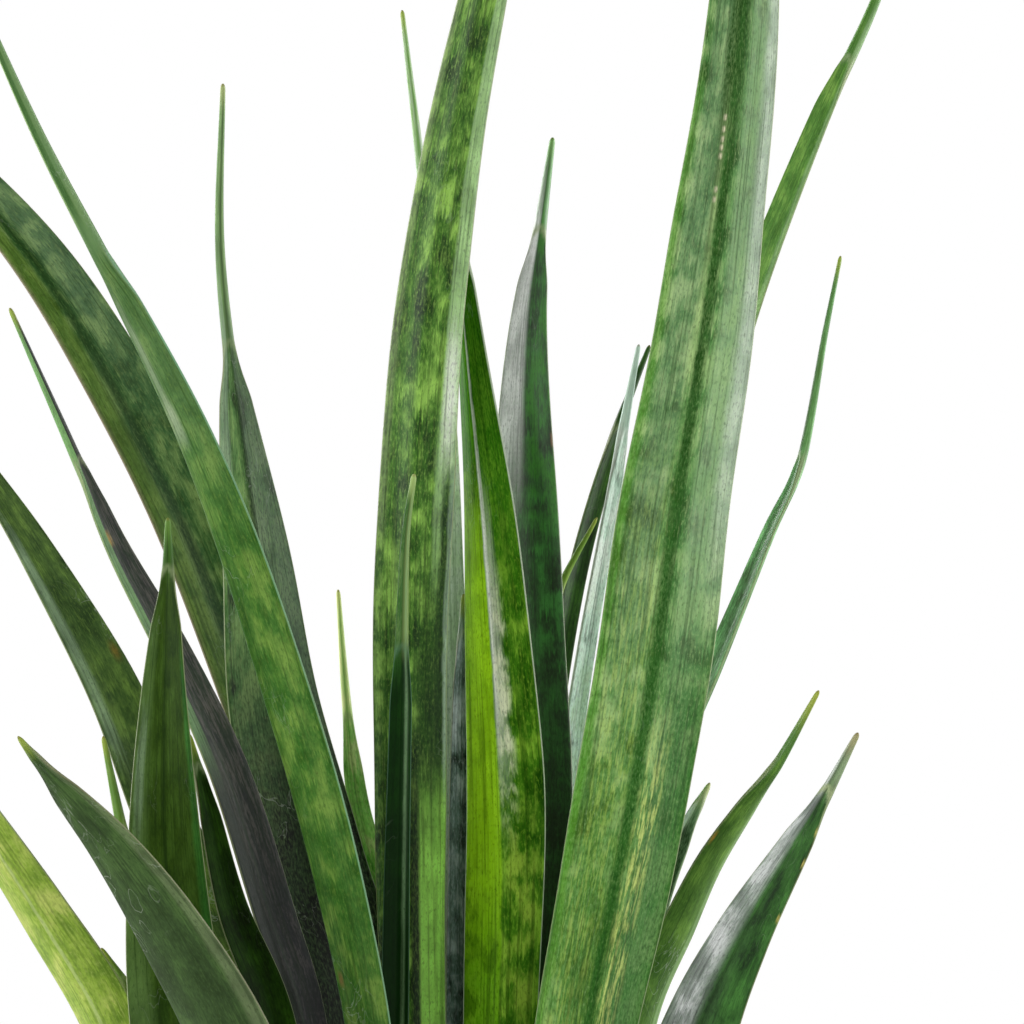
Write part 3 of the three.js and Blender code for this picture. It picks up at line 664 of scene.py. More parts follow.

# %% [markdown]
# ## What only one leaf shows
#
# No two leaves of the plant have the same green, and some show marks of their own: a paler margin, a dark
# streak in the channel, dried spots. One look for all of them would read as plastic. So each leaf may change
# the base look, and may have areas, each with a colour and a place on that leaf. A dark streak in a channel
# is partly the leaf's own line and partly painted shade in the groove. Many areas are painted light: a grey
# to white painted sheen on the half of a leaf that turns to a softbox, painted highlights, and painted shade
# low in the clump and where one leaf shadows another.

# %% Looks of the leaves at the left

OWN_LOOKS = {
    "01_tall_left": dict(
        ground="#3c7025", pale="#789d43", deep="#2b5811", groove=0.0, scuff=0.9, margin="#8fc9a0",
        gloss=0.22, point="#7fa868", tip="#a9b85c", areas=(
            area("#6f8a62", 0.45, (-1, 1), (310, 480), fade=70),
            area("#a9b89a", 0.5, (0.35, 0.8), (325, 362), soft=0.3),
            area("#c3cdb8", 0.3, (0.2, 0.9), (318, 330), soft=0.3, fade=8),
            area("#2f5c1e", 0.75, (-0.6, 0.2), (392, 458), soft=0.3, fade=16),
            area("#a4c47c", 0.6, (0.3, 0.8), (392, 466), soft=0.2, fade=16),
            area("#8a6a3c", 0.7, (0.58, 0.8), (149, 153), soft=0.1, fade=3))),
    "02_broad_left": dict(
        ground="#365f2d", pale="#7a9954", deep="#204310", cover=0.45, groove=0.0, margin="#b9a894", areas=(
            area("#a39a78", 0.55, (-1.1, -0.88), (60, 460)),
            area("#66861f", 0.5, (-0.95, -0.4), (150, 520), soft=0.2, fade=60),
            # A dark band down the groove: partly the leaf's own line, partly painted shade
            area("#183a0d", 0.8, (-0.3, -0.04), (200, 560), soft=0.2, fade=80),
            # A faint grey painted sheen on the upper right flank
            area("#93ad90", 0.2, (0.1, 1.1), (350, 560), soft=0.4, fade=60))),
    "03_needle_left": dict(
        ground="#528041", pale="#8cb266", deep="#172b0f", scuff=0.8, point="#86a86c", tip="#b4c07c", areas=(
            # A grey painted sheen on the right flank
            area("#6c776e", 0.65, (0.12, 1), (215, 345), soft=0.12, fade=40),
            # A pale painted highlight on the left, below the point
            area("#a4bca2", 0.6, (-1, -0.5), (290, 360), soft=0.2, fade=30),
            # Painted shade in the crease of the fold
            area("#1c3312", 0.8, (0.04, 0.2), (262, 335), soft=0.1),
            # Painted shade: the lower part nearly black, deep in the clump
            area("#060b04", 0.93, (-1.1, 1.1), (0, 232), fade=100))),
    "04_purple_channel": dict(
        # The channel side's dark purple-grey is partly the leaf's own colour and partly painted shade
        ground="#518141", pale="#8da862", deep="#1a3113", inner=("#292a2d", 0.9), areas=(
            area("#86b872", 0.9, (-1.1, -0.36), (225, 400), soft=0.12, fade=30),
            area("#c9a545", 0.8, (-0.4, 0.0), (292, 296), soft=0.1, fade=3),
            area("#6a6460", 0.6, (-0.3, 1.1), (60, 330), soft=0.3, fade=60, broken="streak"),
            # Painted shade: the lower part nearly black, deep in the clump
            area("#14161a", 0.8, (-1.1, 1.1), (0, 200), fade=90))),
    "05_outer_left": dict(
        ground="#425f29", pale="#6d8e3d", deep="#233d13", scuff=0.8, areas=(
            area("#a8762a", 0.5, (0.6, 0.85), (252, 255), soft=0.25, fade=7),
            # A pale painted sheen on the left flank
            area("#a4c09c", 0.6, (-0.9, -0.5), (225, 300), soft=0.25, fade=20))),
    "06_short_front_left": dict(
        ground="#324d0e", pale="#43631f", deep="#203a06", cover=0.4, groove=0.7, line="#0d2605", gloss=0.16,
        point="#4c7a34", tip="#6d9440", areas=(
            # Painted light on the left flank, which turns to a softbox
            area("#6a8c4c", 0.5, (-1, -0.5), (120, 260), soft=0.3),
            area("#8fa888", 0.45, (-0.88, -0.62), (200, 232), soft=0.1),
            # A painted reflection along the right margin
            area("#338034", 0.5, (0.8, 1), (60, 250)))),
    "07_low_front_left": dict(
        ground="#344d24", pale="#4b6a34", deep="#273e16", scuff=0.9, rough=0.42, areas=(
            area("#8b9a70", 0.4, (-1, -0.72), (100, 245)),)),
    "09_lime_left": dict(ground="#9abb44", pale="#c9d771", deep="#6f942e", areas=(
        area("#c9d79a", 0.5, (-0.1, 0.02), (60, 220), soft=0.05),)),
    "12_low_left": dict(ground="#183402", pale="#2b500a", deep="#0e1b03", scuff=0.1, gloss=0.06),
}
print("own looks at the left:", len(OWN_LOOKS))

# %% Looks of the leaves in the middle

OWN_LOOKS.update({
    "11_young_centre": dict(
        ground="#96e269", pale="#e0f39e", deep="#59ad2d", point="#f0f4a8", tip="#e4e890"),
    "13_tall_centre": dict(
        ground="#3f711f", pale="#9fd15c", deep="#0f3005", cover=0.42, groove=0.0, areas=(
            # Painted highlights down the right side, where the leaf turns to a softbox, brightest near the
            # shoulder
            area("#b6de9a", 0.78, (-1.1, -0.58), (306, 640), soft=0.1, fade=40),
            area("#b6de9a", 0.6, (-0.74, -0.5), (272, 310), fade=40),
            area("#f2fbe8", 0.85, (-0.92, -0.62), (306, 342), soft=0.2, fade=24),
            # Painted shade on the lower right side
            area("#16360a", 0.85, (-0.9, -0.7), (205, 298), soft=0.12, fade=30),
            area("#22480c", 0.8, (-0.78, -0.2), (205, 262), soft=0.3, fade=40),
            area("#a9c4a8", 0.7, (-1.1, -0.88), (205, 300), soft=0.08, fade=30),
            # A painted highlight down the lower right side
            area("#a8f060", 0.9, (-1.1, -0.24), (0, 200), soft=0.12, fade=40),
            # A painted shadow in the gap beside the slim front leaf
            area("#0a1a06", 0.85, (-0.24, 0.02), (0, 215), soft=0.12, fade=50),
            area("#94a173", 0.4, (0.78, 1.1), (280, 620), soft=0.2))),
    "14_slim_front": dict(
        ground="#082d03", pale="#103905", deep="#062b02", point="#a8c878", tip="#b4cf7c", gloss=0.14,
        margin="#5c8468", margin_dry="#5c8468", areas=(
            # A painted highlight down the right side
            area("#8fb882", 0.45, (0.4, 0.66), (60, 320), soft=0.2, fade=40),
            area("#2c5c1c", 0.9, (-1.1, -0.05), (240, 297), soft=0.3, fade=10))),
    # Its grey and near-white greens are partly a painted sheen
    "15_grey_centre": dict(ground="#6a8378", pale="#cddad9", deep="#17291a", cover=0.4),
    "16_keeled_centre": dict(
        ground="#3c7212", pale="#8aba37", deep="#1c4704", margin="#dfe6d4", margin_dry="#dfe6d4", groove=0.0,
        gloss=0.02, areas=(
            area("#2c6c0a", 0.75, (-1.1, -0.04), (275, 420), soft=0.2, fade=70),
            # Lime on the left flank: partly the leaf's own colour, partly painted light shining through the
            # thin flank
            area("#6aa806", 0.75, (0.04, 1.1), (0, 175), soft=0.1, fade=50),
            area("#9cd418", 0.8, (0.04, 1.1), (165, 290), soft=0.1, fade=40),
            area("#4a9400", 0.9, (0.04, 1.1), (304, 420), soft=0.1, fade=30),
            # Painted highlights along the keel and just right of it
            area("#f6fbf0", 0.95, (-0.08, 0.02), (225, 350), soft=0.1, fade=50),
            area("#dfe8d0", 0.6, (-0.26, -0.04), (215, 285), soft=0.2, fade=40),
            area("#2f5a04", 0.7, (0.1, 1.1), (0, 190), soft=0.3, fade=60, broken="patch"),
            # A painted highlight right of the keel, broken by the patches
            area("#dfe4c0", 0.8, (-0.36, 0.0), (200, 262), soft=0.2, fade=30, broken="patch"),
            area("#97b440", 0.6, (-0.8, -0.1), (60, 200), soft=0.3, fade=30, broken="patch"))),
    # Its nearly white greens are partly a painted sheen
    "17_tall_back_centre": dict(ground="#c9f3a4", pale="#f3f3f3", deep="#6ba544", gloss=0.5, areas=(
        area("#dceadb", 0.9, (-1.1, 1.1), (0, 300), fade=30),)),
    "18_banded_centre": dict(
        ground="#305a2a", pale="#4a9741", deep="#1b2f11", band=0.8, margin_dry="#6a4a52", point="#6fae5c",
        tip="#8cc06c", arch=0.8, gloss=0.9, areas=(
            area("#3c8c14", 0.75, (0.0, 1.1), (285, 400), soft=0.2, fade=30, broken="patch"),
            # Painted shade: the lower part darker, deep in the clump
            area("#263920", 0.7, (-1.1, 1.1), (0, 232), fade=70),
            # A white painted sheen on the left flank, where it turns to a softbox
            area("#ffffff", 1.0, (-1.1, -0.1), (300, 384), soft=0.3, fade=40),
            area("#ffffff", 0.7, (-0.9, -0.3), (285, 380), soft=0.3, fade=30, broken="patch"),
            area("#a9b4ae", 0.6, (-1.1, -0.5), (262, 300), soft=0.3, fade=30),
            area("#8a6a50", 0.9, (0.9, 1.1), (309, 313), soft=0.04, fade=2))),
})
print("with the middle:", len(OWN_LOOKS))

# %% Looks of the leaves at the right

OWN_LOOKS.update({
    "19_dark_back_right": dict(
        ground="#2b4f18", pale="#417022", deep="#132406", point="#2c5520", tip="#3a6225"),
    "20_small_back_right": dict(ground="#93b82e", pale="#b5cf55", deep="#7aa024"),
    "21_sage_back_right": dict(
        # Its pale sage greens are partly a painted sheen, where the leaf turns to a softbox
        ground="#b7d8c1", pale="#e7f3e7", deep="#43614a", point="#c3dccb", tip="#c3dccb", margin="#d5dfd3",
        gloss=0.2, areas=(
            area("#5f9a48", 0.6, (-0.7, 0.9), (60, 260), soft=0.3, fade=60, broken="patch"),)),
    "22_broad_right": dict(
        ground="#548f44", pale="#b6da8c", deep="#25550d", groove=0.0, areas=(
            area("#4a8a14", 0.5, (-1.1, 1.1), (0, 215), soft=0.2, fade=110),
            # A pale painted sheen on the right half
            area("#b8d6a8", 0.48, (0.28, 1.1), (262, 640), soft=0.2, fade=60),
            area("#4a8838", 0.42, (0.14, 0.8), (240, 640), soft=0.2, fade=60, broken="patch"),
            # A whitish painted sheen along the right margin
            area("#e6eee8", 0.5, (0.72, 1.1), (290, 640), soft=0.3, fade=80),
            area("#2c6a24", 0.62, (0.3, 1.1), (60, 250), soft=0.2, fade=60),
            area("#dcea80", 0.7, (0.12, 0.5), (40, 222), soft=0.2, fade=50, broken="streak"),
            area("#b4d060", 0.45, (-0.8, -0.1), (40, 300), soft=0.3, fade=80, broken="streak"),
            area("#b9d38c", 0.45, (-0.24, -0.1), (340, 640), soft=0.1, fade=60),
            area("#8fa88a", 0.35, (-0.75, -0.2), (250, 560), soft=0.2, fade=80),
            # A bright green strip at the left margin: partly the leaf's own green, partly painted light
            # through the thin edge
            area("#5fa322", 0.6, (-1.1, -0.84), (60, 420), soft=0.12),
            # A dark band down the channel: partly the leaf's own line, partly painted shade in the groove
            area("#1f5208", 0.9, (-0.34, 0.2), (404, 640), soft=0.16, fade=50),
            area("#1f5208", 0.92, (-0.08, 0.13), (290, 404), soft=0.1, fade=40),
            area("#1c5a08", 0.9, (-0.08, 0.14), (40, 300), soft=0.14, fade=60),
            *[area("#f2edc4", 0.95, (-0.21, -0.14), (low, low + 1.6), soft=0.05, fade=1.2)
              for low in (385, 388, 398, 400.5, 403, 406, 409.5)])),
    "23_upper_right": dict(ground="#598d3b", pale="#89b755", deep="#44722a", areas=(
        area("#a3c48e", 0.5, (0.6, 1.1), (0, 460), soft=0.2),)),
    "24_needle_right": dict(ground="#629f5d", pale="#a0e998", deep="#3d5c2f", areas=(
        area("#a9c2a4", 0.4, (-0.3, 0.3), (60, 240), soft=0.3),
        area("#33402e", 0.4, (-0.5, 0.6), (225, 420), soft=0.3, fade=50))),
    "25_outer_right": dict(
        ground="#4f7a2a", pale="#73a13e", deep="#38631a", scuff=0.8, tip_length=16, tip="#b3bd4e", areas=(
            area("#a4c88a", 0.55, (-1.1, -0.62), (0, 250)),
            area("#cf9a3f", 0.85, (0.82, 1.1), (195, 198), soft=0.1, fade=4))),
    "26_low_front_right": dict(
        ground="#2b581e", pale="#447c32", deep="#092405", point="#b0c49c", tip="#b0a878", arch=0.9,
        gloss=0.16, areas=(
            # Painted shade low on the left, deep in the clump
            area("#10180e", 0.6, (-0.9, 0.2), (0, 165), soft=0.5, fade=60),
            # A grey painted sheen on the left flank
            area("#d4d9d8", 0.6, (-1.0, -0.3), (130, 236), soft=0.5, fade=60),
            area("#f4f6f6", 0.6, (-0.95, -0.35), (120, 236), soft=0.4, fade=50, broken="patch"),
            area("#e0d070", 0.9, (0.86, 1.1), (210, 211.5), soft=0.06, fade=3),
            area("#e0d070", 0.9, (0.86, 1.1), (200, 201.5), soft=0.06, fade=3),
            area("#e0d070", 0.9, (0.88, 1.1), (182, 183.5), soft=0.06, fade=3))),
    "27_young_right": dict(
        ground="#a0bb99", pale="#c5dbba", deep="#415a3a", point="#cce4a8", tip="#c5cd8a", arch=0.9, areas=(
            # A pale painted sheen on the left flank
            area("#d4e4da", 0.6, (-1.1, -0.4), (150, 215), soft=0.3),
            area("#1e3a18", 0.85, (-0.3, 0.86), (60, 199), soft=0.2, fade=8))),
})
print("own looks:", len(OWN_LOOKS))

# %% The whole look of a leaf


def look_of(name):
    """The base look, changed by the leaf's slot, and then by what only this leaf shows."""
    return {**BASE_LOOK, **SLOT_LOOKS[slot_of["leaf_" + name]], **OWN_LOOKS.get(name, {})}


print("the young leaf's ground is", look_of("11_young_centre")["ground"])

# %% [markdown]
# ## Masks
#
# The finish is built like a painting: colours are laid over each other, and a mask from 0 to 1 says how
# much of each shows at every place. Masks could be painted pictures. Here they are worked out from
# attributes and noises, so they stay sharp close up. These helpers make masks and use them.

# %% Make, join and use masks


def between(tree, value, limits, soft):
    """A mask that is 1 between the limits and fades to 0 past them."""
    low, high = limits
    centred = add(tree, MATH, {"operation": "SUBTRACT"}, {0: value, 1: (low + high) / 2})
    away = add(tree, MATH, {"operation": "ABSOLUTE"}, {0: centred.outputs[0]})
    reach = (high - low) / 2
    faded = {1: reach + soft / 2, 2: reach - soft / 2}
    return add(tree, RANGE, SMOOTH, {0: away.outputs[0], **faded}).outputs[0]


def product(tree, *values):
    """The product of masks and numbers."""
    result = values[0]
    for value in values[1:]:
        result = add(tree, MATH, {"operation": "MULTIPLY"}, {0: result, 1: value}).outputs[0]
    return result


def painted(tree, colour, layers):
    """Lay each layer's colour over the ones before it by its mask."""
    for mask, upper in layers:
        upper = linear(upper) if isinstance(upper, str) else upper
        colour = add(tree, MIX, {"data_type": "RGBA"}, {0: mask, LOWER: colour, UPPER: upper}).outputs[MIXED]
    return colour


# %% [markdown]
# ## Patterns along a leaf
#
# Nearly every mark on these leaves is longer than it is wide, because it follows the fibres. A noise
# node makes round blots, so its place is squeezed first. The grain attribute counts real millimetres
# across and along the leaf, and each pattern divides them by its own width and length.

# %% Stretch noise along the leaf

# How far the streaks fray the patches along the leaf, in millimetres
FRAY = 11.0
PATTERN_DETAIL = 4.0
PATTERN_ROUGHNESS = 0.6


def leaf_facts(tree):
    """The leaf's attributes as sockets, by name, with place and face taken apart."""
    read = {key: add(tree, ATTRIBUTE, {"attribute_name": key}, {}).outputs["Vector"]
            for key in ("grain", "place", "face")}
    facts = {"grain": read["grain"]}
    facts.update(zip(("across", "along", "to_tip"), add(tree, SPLIT, {}, {0: read["place"]}).outputs))
    facts.update(zip(("side", "edge", "arch"), add(tree, SPLIT, {}, {0: read["face"]}).outputs))
    return facts


def leaf_patterns(tree, grain):
    """The noise of each pattern, by its name."""
    pattern = {}
    ragged = grain
    for key, (width, long) in PATTERNS.items():
        source = ragged if key in ("patch", "band") else grain
        scaled = add(tree, MAPPING, {}, {"Vector": source, "Scale": (1 / width, 1 / long, 1)})
        made = add(tree, NOISE, {}, {"Vector": scaled.outputs[0], "Scale": 1.0,
                                     "Detail": PATTERN_DETAIL, "Roughness": PATTERN_ROUGHNESS})
        pattern[key] = made.outputs["Fac"]
        if key == "streak":
            shift = add(tree, "ShaderNodeCombineXYZ", {}, {"Y": product(tree, pattern[key], FRAY)})
            ragged = add(tree, VECTOR, {}, {0: grain, 1: shift.outputs[0]}).outputs[0]
    return pattern


print("the longest pattern runs", max(long for width, long in PATTERNS.values()), "mm along a leaf")

# %% [markdown]
# ## Pale and deep patches
#
# The mottling reads as three greens: a ground, ragged pale patches, and deep patches. Each could have a
# mask of its own, but then pale and deep would lie over each other. One tone is added up from patterns
# of several sizes. What lies well above its middle is pale, and what lies well below is deep.

# %% Patches from one tone

# How much the other patterns count beside the patches
SHARES = {"cloud": 0.55, "streak": 0.4, "dot": 0.2}
NOISE_MIDDLE = 0.5
# How far a leaf's cover of pale patches moves the middle of its tone
COVER_SHIFT = 0.3
# How far from the middle a patch starts and is full, and how much it covers there
PALE_PATCH = (-0.03, 0.15, 0.92)
DEEP_PATCH = (-0.02, -0.17, 0.95)


def patches(tree, pattern, look):
    """Masks of the pale patches and of the deep ones."""
    tone = pattern["patch"]
    shares = 1
    for key, share in {**SHARES, "band": look["band"]}.items():
        tone = add(tree, MATH, TIMES_PLUS, {0: pattern[key], 1: share, 2: tone}).outputs[0]
        shares += share
    middle = NOISE_MIDDLE * shares + COVER_SHIFT * (0.5 - look["cover"])
    ranges = [{1: middle + start, 2: middle + full, 3: 0, 4: most}
              for start, full, most in (PALE_PATCH, DEEP_PATCH)]
    return [add(tree, RANGE, SMOOTH, {0: tone, **limits}).outputs[0] for limits in ranges]


print("the patches count for", round(1 / (1 + sum(SHARES.values())), 2), "of the tone")

# %% [markdown]
# ## Fibres and dots
#
# Close up, the real leaf is ruled with fibres and dotted all over, some marks paler and some darker
# than the patch that they lie on. Relief alone wouldn't show on so smooth a skin, so the fine marks are
# colour too. The pale ones lie under a leaf's own areas, and the shade lies over them.

# %% Fine marks

# Pattern, where its mark starts and is full, how much it covers there, and its colour
FINE_MARKS = (
    ("dot", 0.5, 0.7, 0.6, "shade"), ("dot", 0.48, 0.3, 0.46, "pale"), ("streak", 0.5, 0.28, 0.44, "pale"),
    ("fibre", 0.5, 0.64, 0.5, "shade"))
# The shade is the leaf's deep green, darkened to this share
SHADE_SHARE = 0.6


def fine_marks(tree, pattern, blade_only, look):
    """The layers of the pale fine marks, and those of the shade marks."""
    shade = (*[SHADE_SHARE * channel for channel in linear(look["deep"])[:3]], 1)
    colours = {"shade": shade, "pale": look["pale"]}
    marks = {"shade": [], "pale": []}
    for key, start, full, most, colour in FINE_MARKS:
        mask = add(tree, RANGE, {}, {0: pattern[key], 1: start, 2: full, 3: 0, 4: most}).outputs[0]
        marks[colour].append((product(tree, mask, blade_only), colours[colour]))
    return marks["pale"], marks["shade"]


print("fine marks:", ", ".join(colour + " " + key for key, *numbers, colour in FINE_MARKS))

# %% [markdown]
# ## Areas of a leaf's own
#
# A leaf's own areas, such as a dried spot, a painted sheen and a patch of painted shade, lie at one place
# and have soft, ragged ends. A sharp-edged area would look like a sticker. So the places across and along
# the leaf are moved a little by the patterns, and an area frays like the patches do. Small areas keep their
# place, because the shift would be larger than the spot.

# %% Areas

# How far the patterns move an area, in millimetres along the leaf and as a share of the half width
AREA_FRAY = 18
AREA_SHIFT = 0.16
# Shorter areas than this, in millimetres, aren't moved
SMALL_AREA = 20
# An area is uneven by its patches and dots, and a broken one has gaps
UNEVEN = {1: 0.75, 2: 1.15, 3: 0.5, 4: 1.12}
GAPS = {1: 0.44, 2: 0.6}


def own_areas(tree, facts, pattern, look):
    """The layers of the areas that only this leaf shows: its own marks, painted sheens and painted shade."""
    across, along = facts["across"], facts["along"]
    moved_across = add(tree, MATH, TIMES_PLUS, {0: pattern["patch"], 1: AREA_SHIFT, 2: across}).outputs[0]
    moved_along = add(tree, MATH, TIMES_PLUS, {0: pattern["streak"], 1: AREA_FRAY, 2: along}).outputs[0]
    spots = add(tree, MATH, {"operation": "ADD"}, {0: pattern["patch"], 1: pattern["dot"]}).outputs[0]
    mottle = add(tree, RANGE, {}, {0: spots, **UNEVEN}).outputs[0]
    gaps = {key: add(tree, RANGE, SMOOTH, {0: pattern[key], **GAPS}).outputs[0]
            for key in ("patch", "streak")}
    layers = []
    for part in look["areas"]:
        small = part["along"][1] - part["along"][0] < SMALL_AREA
        if small:
            columns = between(tree, across, part["across"], part["soft"])
            rows = between(tree, along, part["along"], part["fade"])
        else:
            # A noise is about a half on average, so the limits move by half of the full shift
            sideways = [limit + AREA_SHIFT / 2 for limit in part["across"]]
            upwards = [limit + AREA_FRAY / 2 for limit in part["along"]]
            columns = between(tree, moved_across, sideways, part["soft"])
            rows = between(tree, moved_along, upwards, part["fade"])
        uneven = gaps[part["broken"]] if part["broken"] else 1.0 if small else mottle
        layers.append((product(tree, columns, rows, uneven, part["strength"]), part["colour"]))
    return layers


print("areas on all leaves:", sum(len(look_of(name)["areas"]) for name in LEAVES))

# %% [markdown]
# ## Channel line, foot, point and margin
#
# Some marks sit at the same place on every leaf: a darker line down the middle of the channel, and, because
# they come from how it grows, a pale foot that never saw light, the arch below the point, a thin dry margin,
# and a brown end. They could be small pieces of their own, but they have no thickness. Each is a mask from
# the leaf's attributes.

# %% Marks of growth

# Half the width of the channel's line and how softly it ends, as shares of the half width
LINE_HALF = 0.04
LINE_SOFT = 0.14
# Where the slow clouds dry the margin, and how far from the edge it starts and is full, in millimetres
DRY = {1: 0.46, 2: 0.62, 3: 0, 4: 0.7}
MARGIN = {1: 0.32, 2: 0.14, 3: 0, 4: 0.6}
# Where the pale foot ends, in millimetres up, and where the brown end starts, in millimetres from the tip
PALE_FOOT = {1: 60, 2: 18, 3: 0, 4: 0.7}
BROWN_END = {1: 1.2, 2: 0.3, 3: 0, 4: 0.4}
# How far streaks fray the tip's colour, how far it fades past its length, and how much it covers
TIP_FRAY = 14.0
TIP_FADE = 8
TIP_COVER = 0.8


def growth_marks(tree, facts, pattern, blade_only, look):
    """The layers of the marks that every leaf has at the same place."""
    inner_only = add(tree, MATH, {"operation": "MAXIMUM"}, {0: facts["side"], 1: 0.0}).outputs[0]
    middle = between(tree, facts["across"], (-LINE_HALF, LINE_HALF), LINE_SOFT)
    line = product(tree, middle, inner_only, look["groove"])
    foot = add(tree, RANGE, SMOOTH, {0: facts["along"], **PALE_FOOT}).outputs[0]
    frayed = add(tree, MATH, TIMES_PLUS, {0: pattern["streak"], 1: TIP_FRAY, 2: facts["to_tip"]}).outputs[0]
    tip = add(tree, RANGE, SMOOTH, {0: frayed, 1: look["tip_length"] + TIP_FADE, 2: TIP_FRAY / 2,
                                    3: 0, 4: TIP_COVER}).outputs[0]
    arch = product(tree, facts["arch"], look["arch"])
    dry = add(tree, RANGE, SMOOTH, {0: pattern["cloud"], **DRY}).outputs[0]
    margin_colour = painted(tree, linear(look["margin"]), [(dry, look["margin_dry"])])
    at_edge = add(tree, RANGE, SMOOTH, {0: facts["edge"], **MARGIN}).outputs[0]
    brown_end = add(tree, RANGE, SMOOTH, {0: facts["to_tip"], **BROWN_END}).outputs[0]
    return inner_only, [
        (line, look["line"]),
        (foot, "#b9bd86"),
        (tip, look["tip"]),
        (arch, look["margin"]),
        (product(tree, at_edge, blade_only), margin_colour),
        (brown_end, "#8a6a3f"),
    ]


print("a leaf's margin is", MARGIN[1], "mm wide and its brown end", BROWN_END[1], "mm long")

# %% [markdown]
# ## Dry scuffs
#
# Leaves that rub on each other get thin pale rings and scratches. They could be drawn as curves, but a
# noise already has such lines in it: the places where it crosses its middle. A second, slower noise
# says on which parts of the leaf they show.

# %% Scuffs

# A scuff's size across the leaf in millimetres, the pace of its noise along the leaf against across it,
# how thin its line is, and how much it covers
SCUFF_SIZE = 24
SCUFF_PACE = 0.6
SCUFF_LINE = 0.008
SCUFF_COVER = 0.32
RING = {"Scale": 2.2, "Detail": 3.0, "Distortion": 1.6}
SPREAD = {"Scale": 0.9, "Detail": 1.0}
# Where the slow noise lets scuffs show: from here, less for a leaf with many, and fully from there
SCUFFS_FROM = 0.6
SCUFFS_MORE = 0.12
SCUFFS_FULL = 0.68


def scuffs(tree, grain, most):
    """The mask of a leaf's scuffs."""
    scale = (1 / SCUFF_SIZE, SCUFF_PACE / SCUFF_SIZE, 1)
    scaled = add(tree, MAPPING, {}, {"Vector": grain, "Scale": scale}).outputs[0]
    ring = add(tree, NOISE, {}, {"Vector": scaled, **RING}).outputs["Fac"]
    line = between(tree, ring, (NOISE_MIDDLE - SCUFF_LINE, NOISE_MIDDLE + SCUFF_LINE), SCUFF_LINE)
    spread = add(tree, NOISE, {}, {"Vector": scaled, **SPREAD}).outputs["Fac"]
    shown = add(tree, RANGE, SMOOTH, {0: spread, 1: SCUFFS_FROM - SCUFFS_MORE * most, 2: SCUFFS_FULL,
                                      3: 0, 4: most}).outputs[0]
    return product(tree, line, shown, SCUFF_COVER)


print("leaves with many scuffs:", sum(look_of(name)["scuff"] > 0.5 for name in LEAVES))

# %% [markdown]
# ## The whole finish of a leaf
#
# The layers now go on in their order: patches, pale fine marks, the point, the leaf's own areas with their
# painted sheens and painted shade, dark fine marks, growth marks, scuffs. Each leaf could be shown by one of
# a few shared materials, but then none could have marks of its own, so each gets a material. The cuticle on
# top is clear and satin, with an IOR near that of wax, a little rougher where the dots are, and with very
# low relief.

# %% Finish of one leaf

# The point's colour starts this far below the shoulder and is full this far above it, in millimetres
POINT_FROM = 4
POINT_FULL = 8
POINT_COVER = 0.6
# A darker core runs up the point: half its width, how softly it ends, and how much it covers
CORE_HALF = 0.3
CORE_SOFT = 0.5
CORE_COVER = 0.5
CUTICLE_IOR = 1.42
# How much smoother and rougher than its own roughness a leaf gets between and on its dots
SMOOTHER = 0.05
ROUGHER = 0.09
# How much the dots count in the relief beside the streaks, how high it is in millimetres, and its strength
DOT_RELIEF = 0.6
CUTICLE_RELIEF = 0.14
RELIEF_STRENGTH = 0.4


def leaf_finish(name, leaf):
    """Waxy leaf cuticle over long fibres: mottled, thin-edged, and paler at the point."""
    look = look_of(name)
    material, tree, shader = new_material("waxy_cuticle_" + name)
    facts = leaf_facts(tree)
    pattern = leaf_patterns(tree, facts["grain"])
    pale, deep = patches(tree, pattern, look)

    # The solid point is so thin that the fine patterns would crowd on it
    solid = add(tree, RANGE, SMOOTH, {0: facts["to_tip"], 1: leaf["tip"] + POINT_FROM,
                                      2: leaf["tip"] - POINT_FULL}).outputs[0]
    in_core = between(tree, facts["across"], (-CORE_HALF, CORE_HALF), CORE_SOFT)
    core = product(tree, in_core, solid, CORE_COVER)
    blade_only = add(tree, MATH, {"operation": "SUBTRACT"}, {0: 1.0, 1: solid}).outputs[0]
    fine_pale, fine_shade = fine_marks(tree, pattern, blade_only, look)
    inner_only, grown = growth_marks(tree, facts, pattern, blade_only, look)

    layers = [(pale, look["pale"]), (deep, look["deep"]), *fine_pale,
              (product(tree, solid, POINT_COVER), look["point"]), (core, look["deep"])]
    if look["inner"]:
        colour, cover = look["inner"]
        layers.append((product(tree, inner_only, cover), colour))
    layers += own_areas(tree, facts, pattern, look) + fine_shade + grown
    layers.append((scuffs(tree, facts["grain"], look["scuff"]), "#c8d3c0"))
    tree.links.new(painted(tree, linear(look["ground"]), layers), shader.inputs["Base Color"])

    roughness = add(tree, RANGE, {}, {0: pattern["dot"], 1: 0.3, 2: 0.7,
                                      3: look["rough"] - SMOOTHER, 4: look["rough"] + ROUGHER})
    tree.links.new(roughness.outputs[0], shader.inputs["Roughness"])
    shader.inputs["IOR"].default_value = CUTICLE_IOR
    shader.inputs["Specular IOR Level"].default_value = look["gloss"]
    height = add(tree, MATH, TIMES_PLUS, {0: pattern["dot"], 1: DOT_RELIEF, 2: pattern["streak"]})
    relief = add(tree, BUMP, {}, {"Height": height.outputs[0], "Distance": CUTICLE_RELIEF * MM,
                                  "Strength": product(tree, blade_only, RELIEF_STRENGTH)})
    tree.links.new(relief.outputs[0], shader.inputs["Normal"])
    return material


# %% [markdown]
# ## All forty leaves
#
# The leaves differ only in their rows and looks, so one loop makes them. A new skin could be laid over each
# solid of the frame, but two skins so close would flicker through each other. Each new leaf replaces its
# solid instead and rides on the same body.

# %% Make every leaf


def placed(name, data):
    """A new object in the scene, made from its mesh, light or lens."""
    item = bpy.data.objects.new(name, data)
    bpy.context.scene.collection.objects.link(item)
    return item


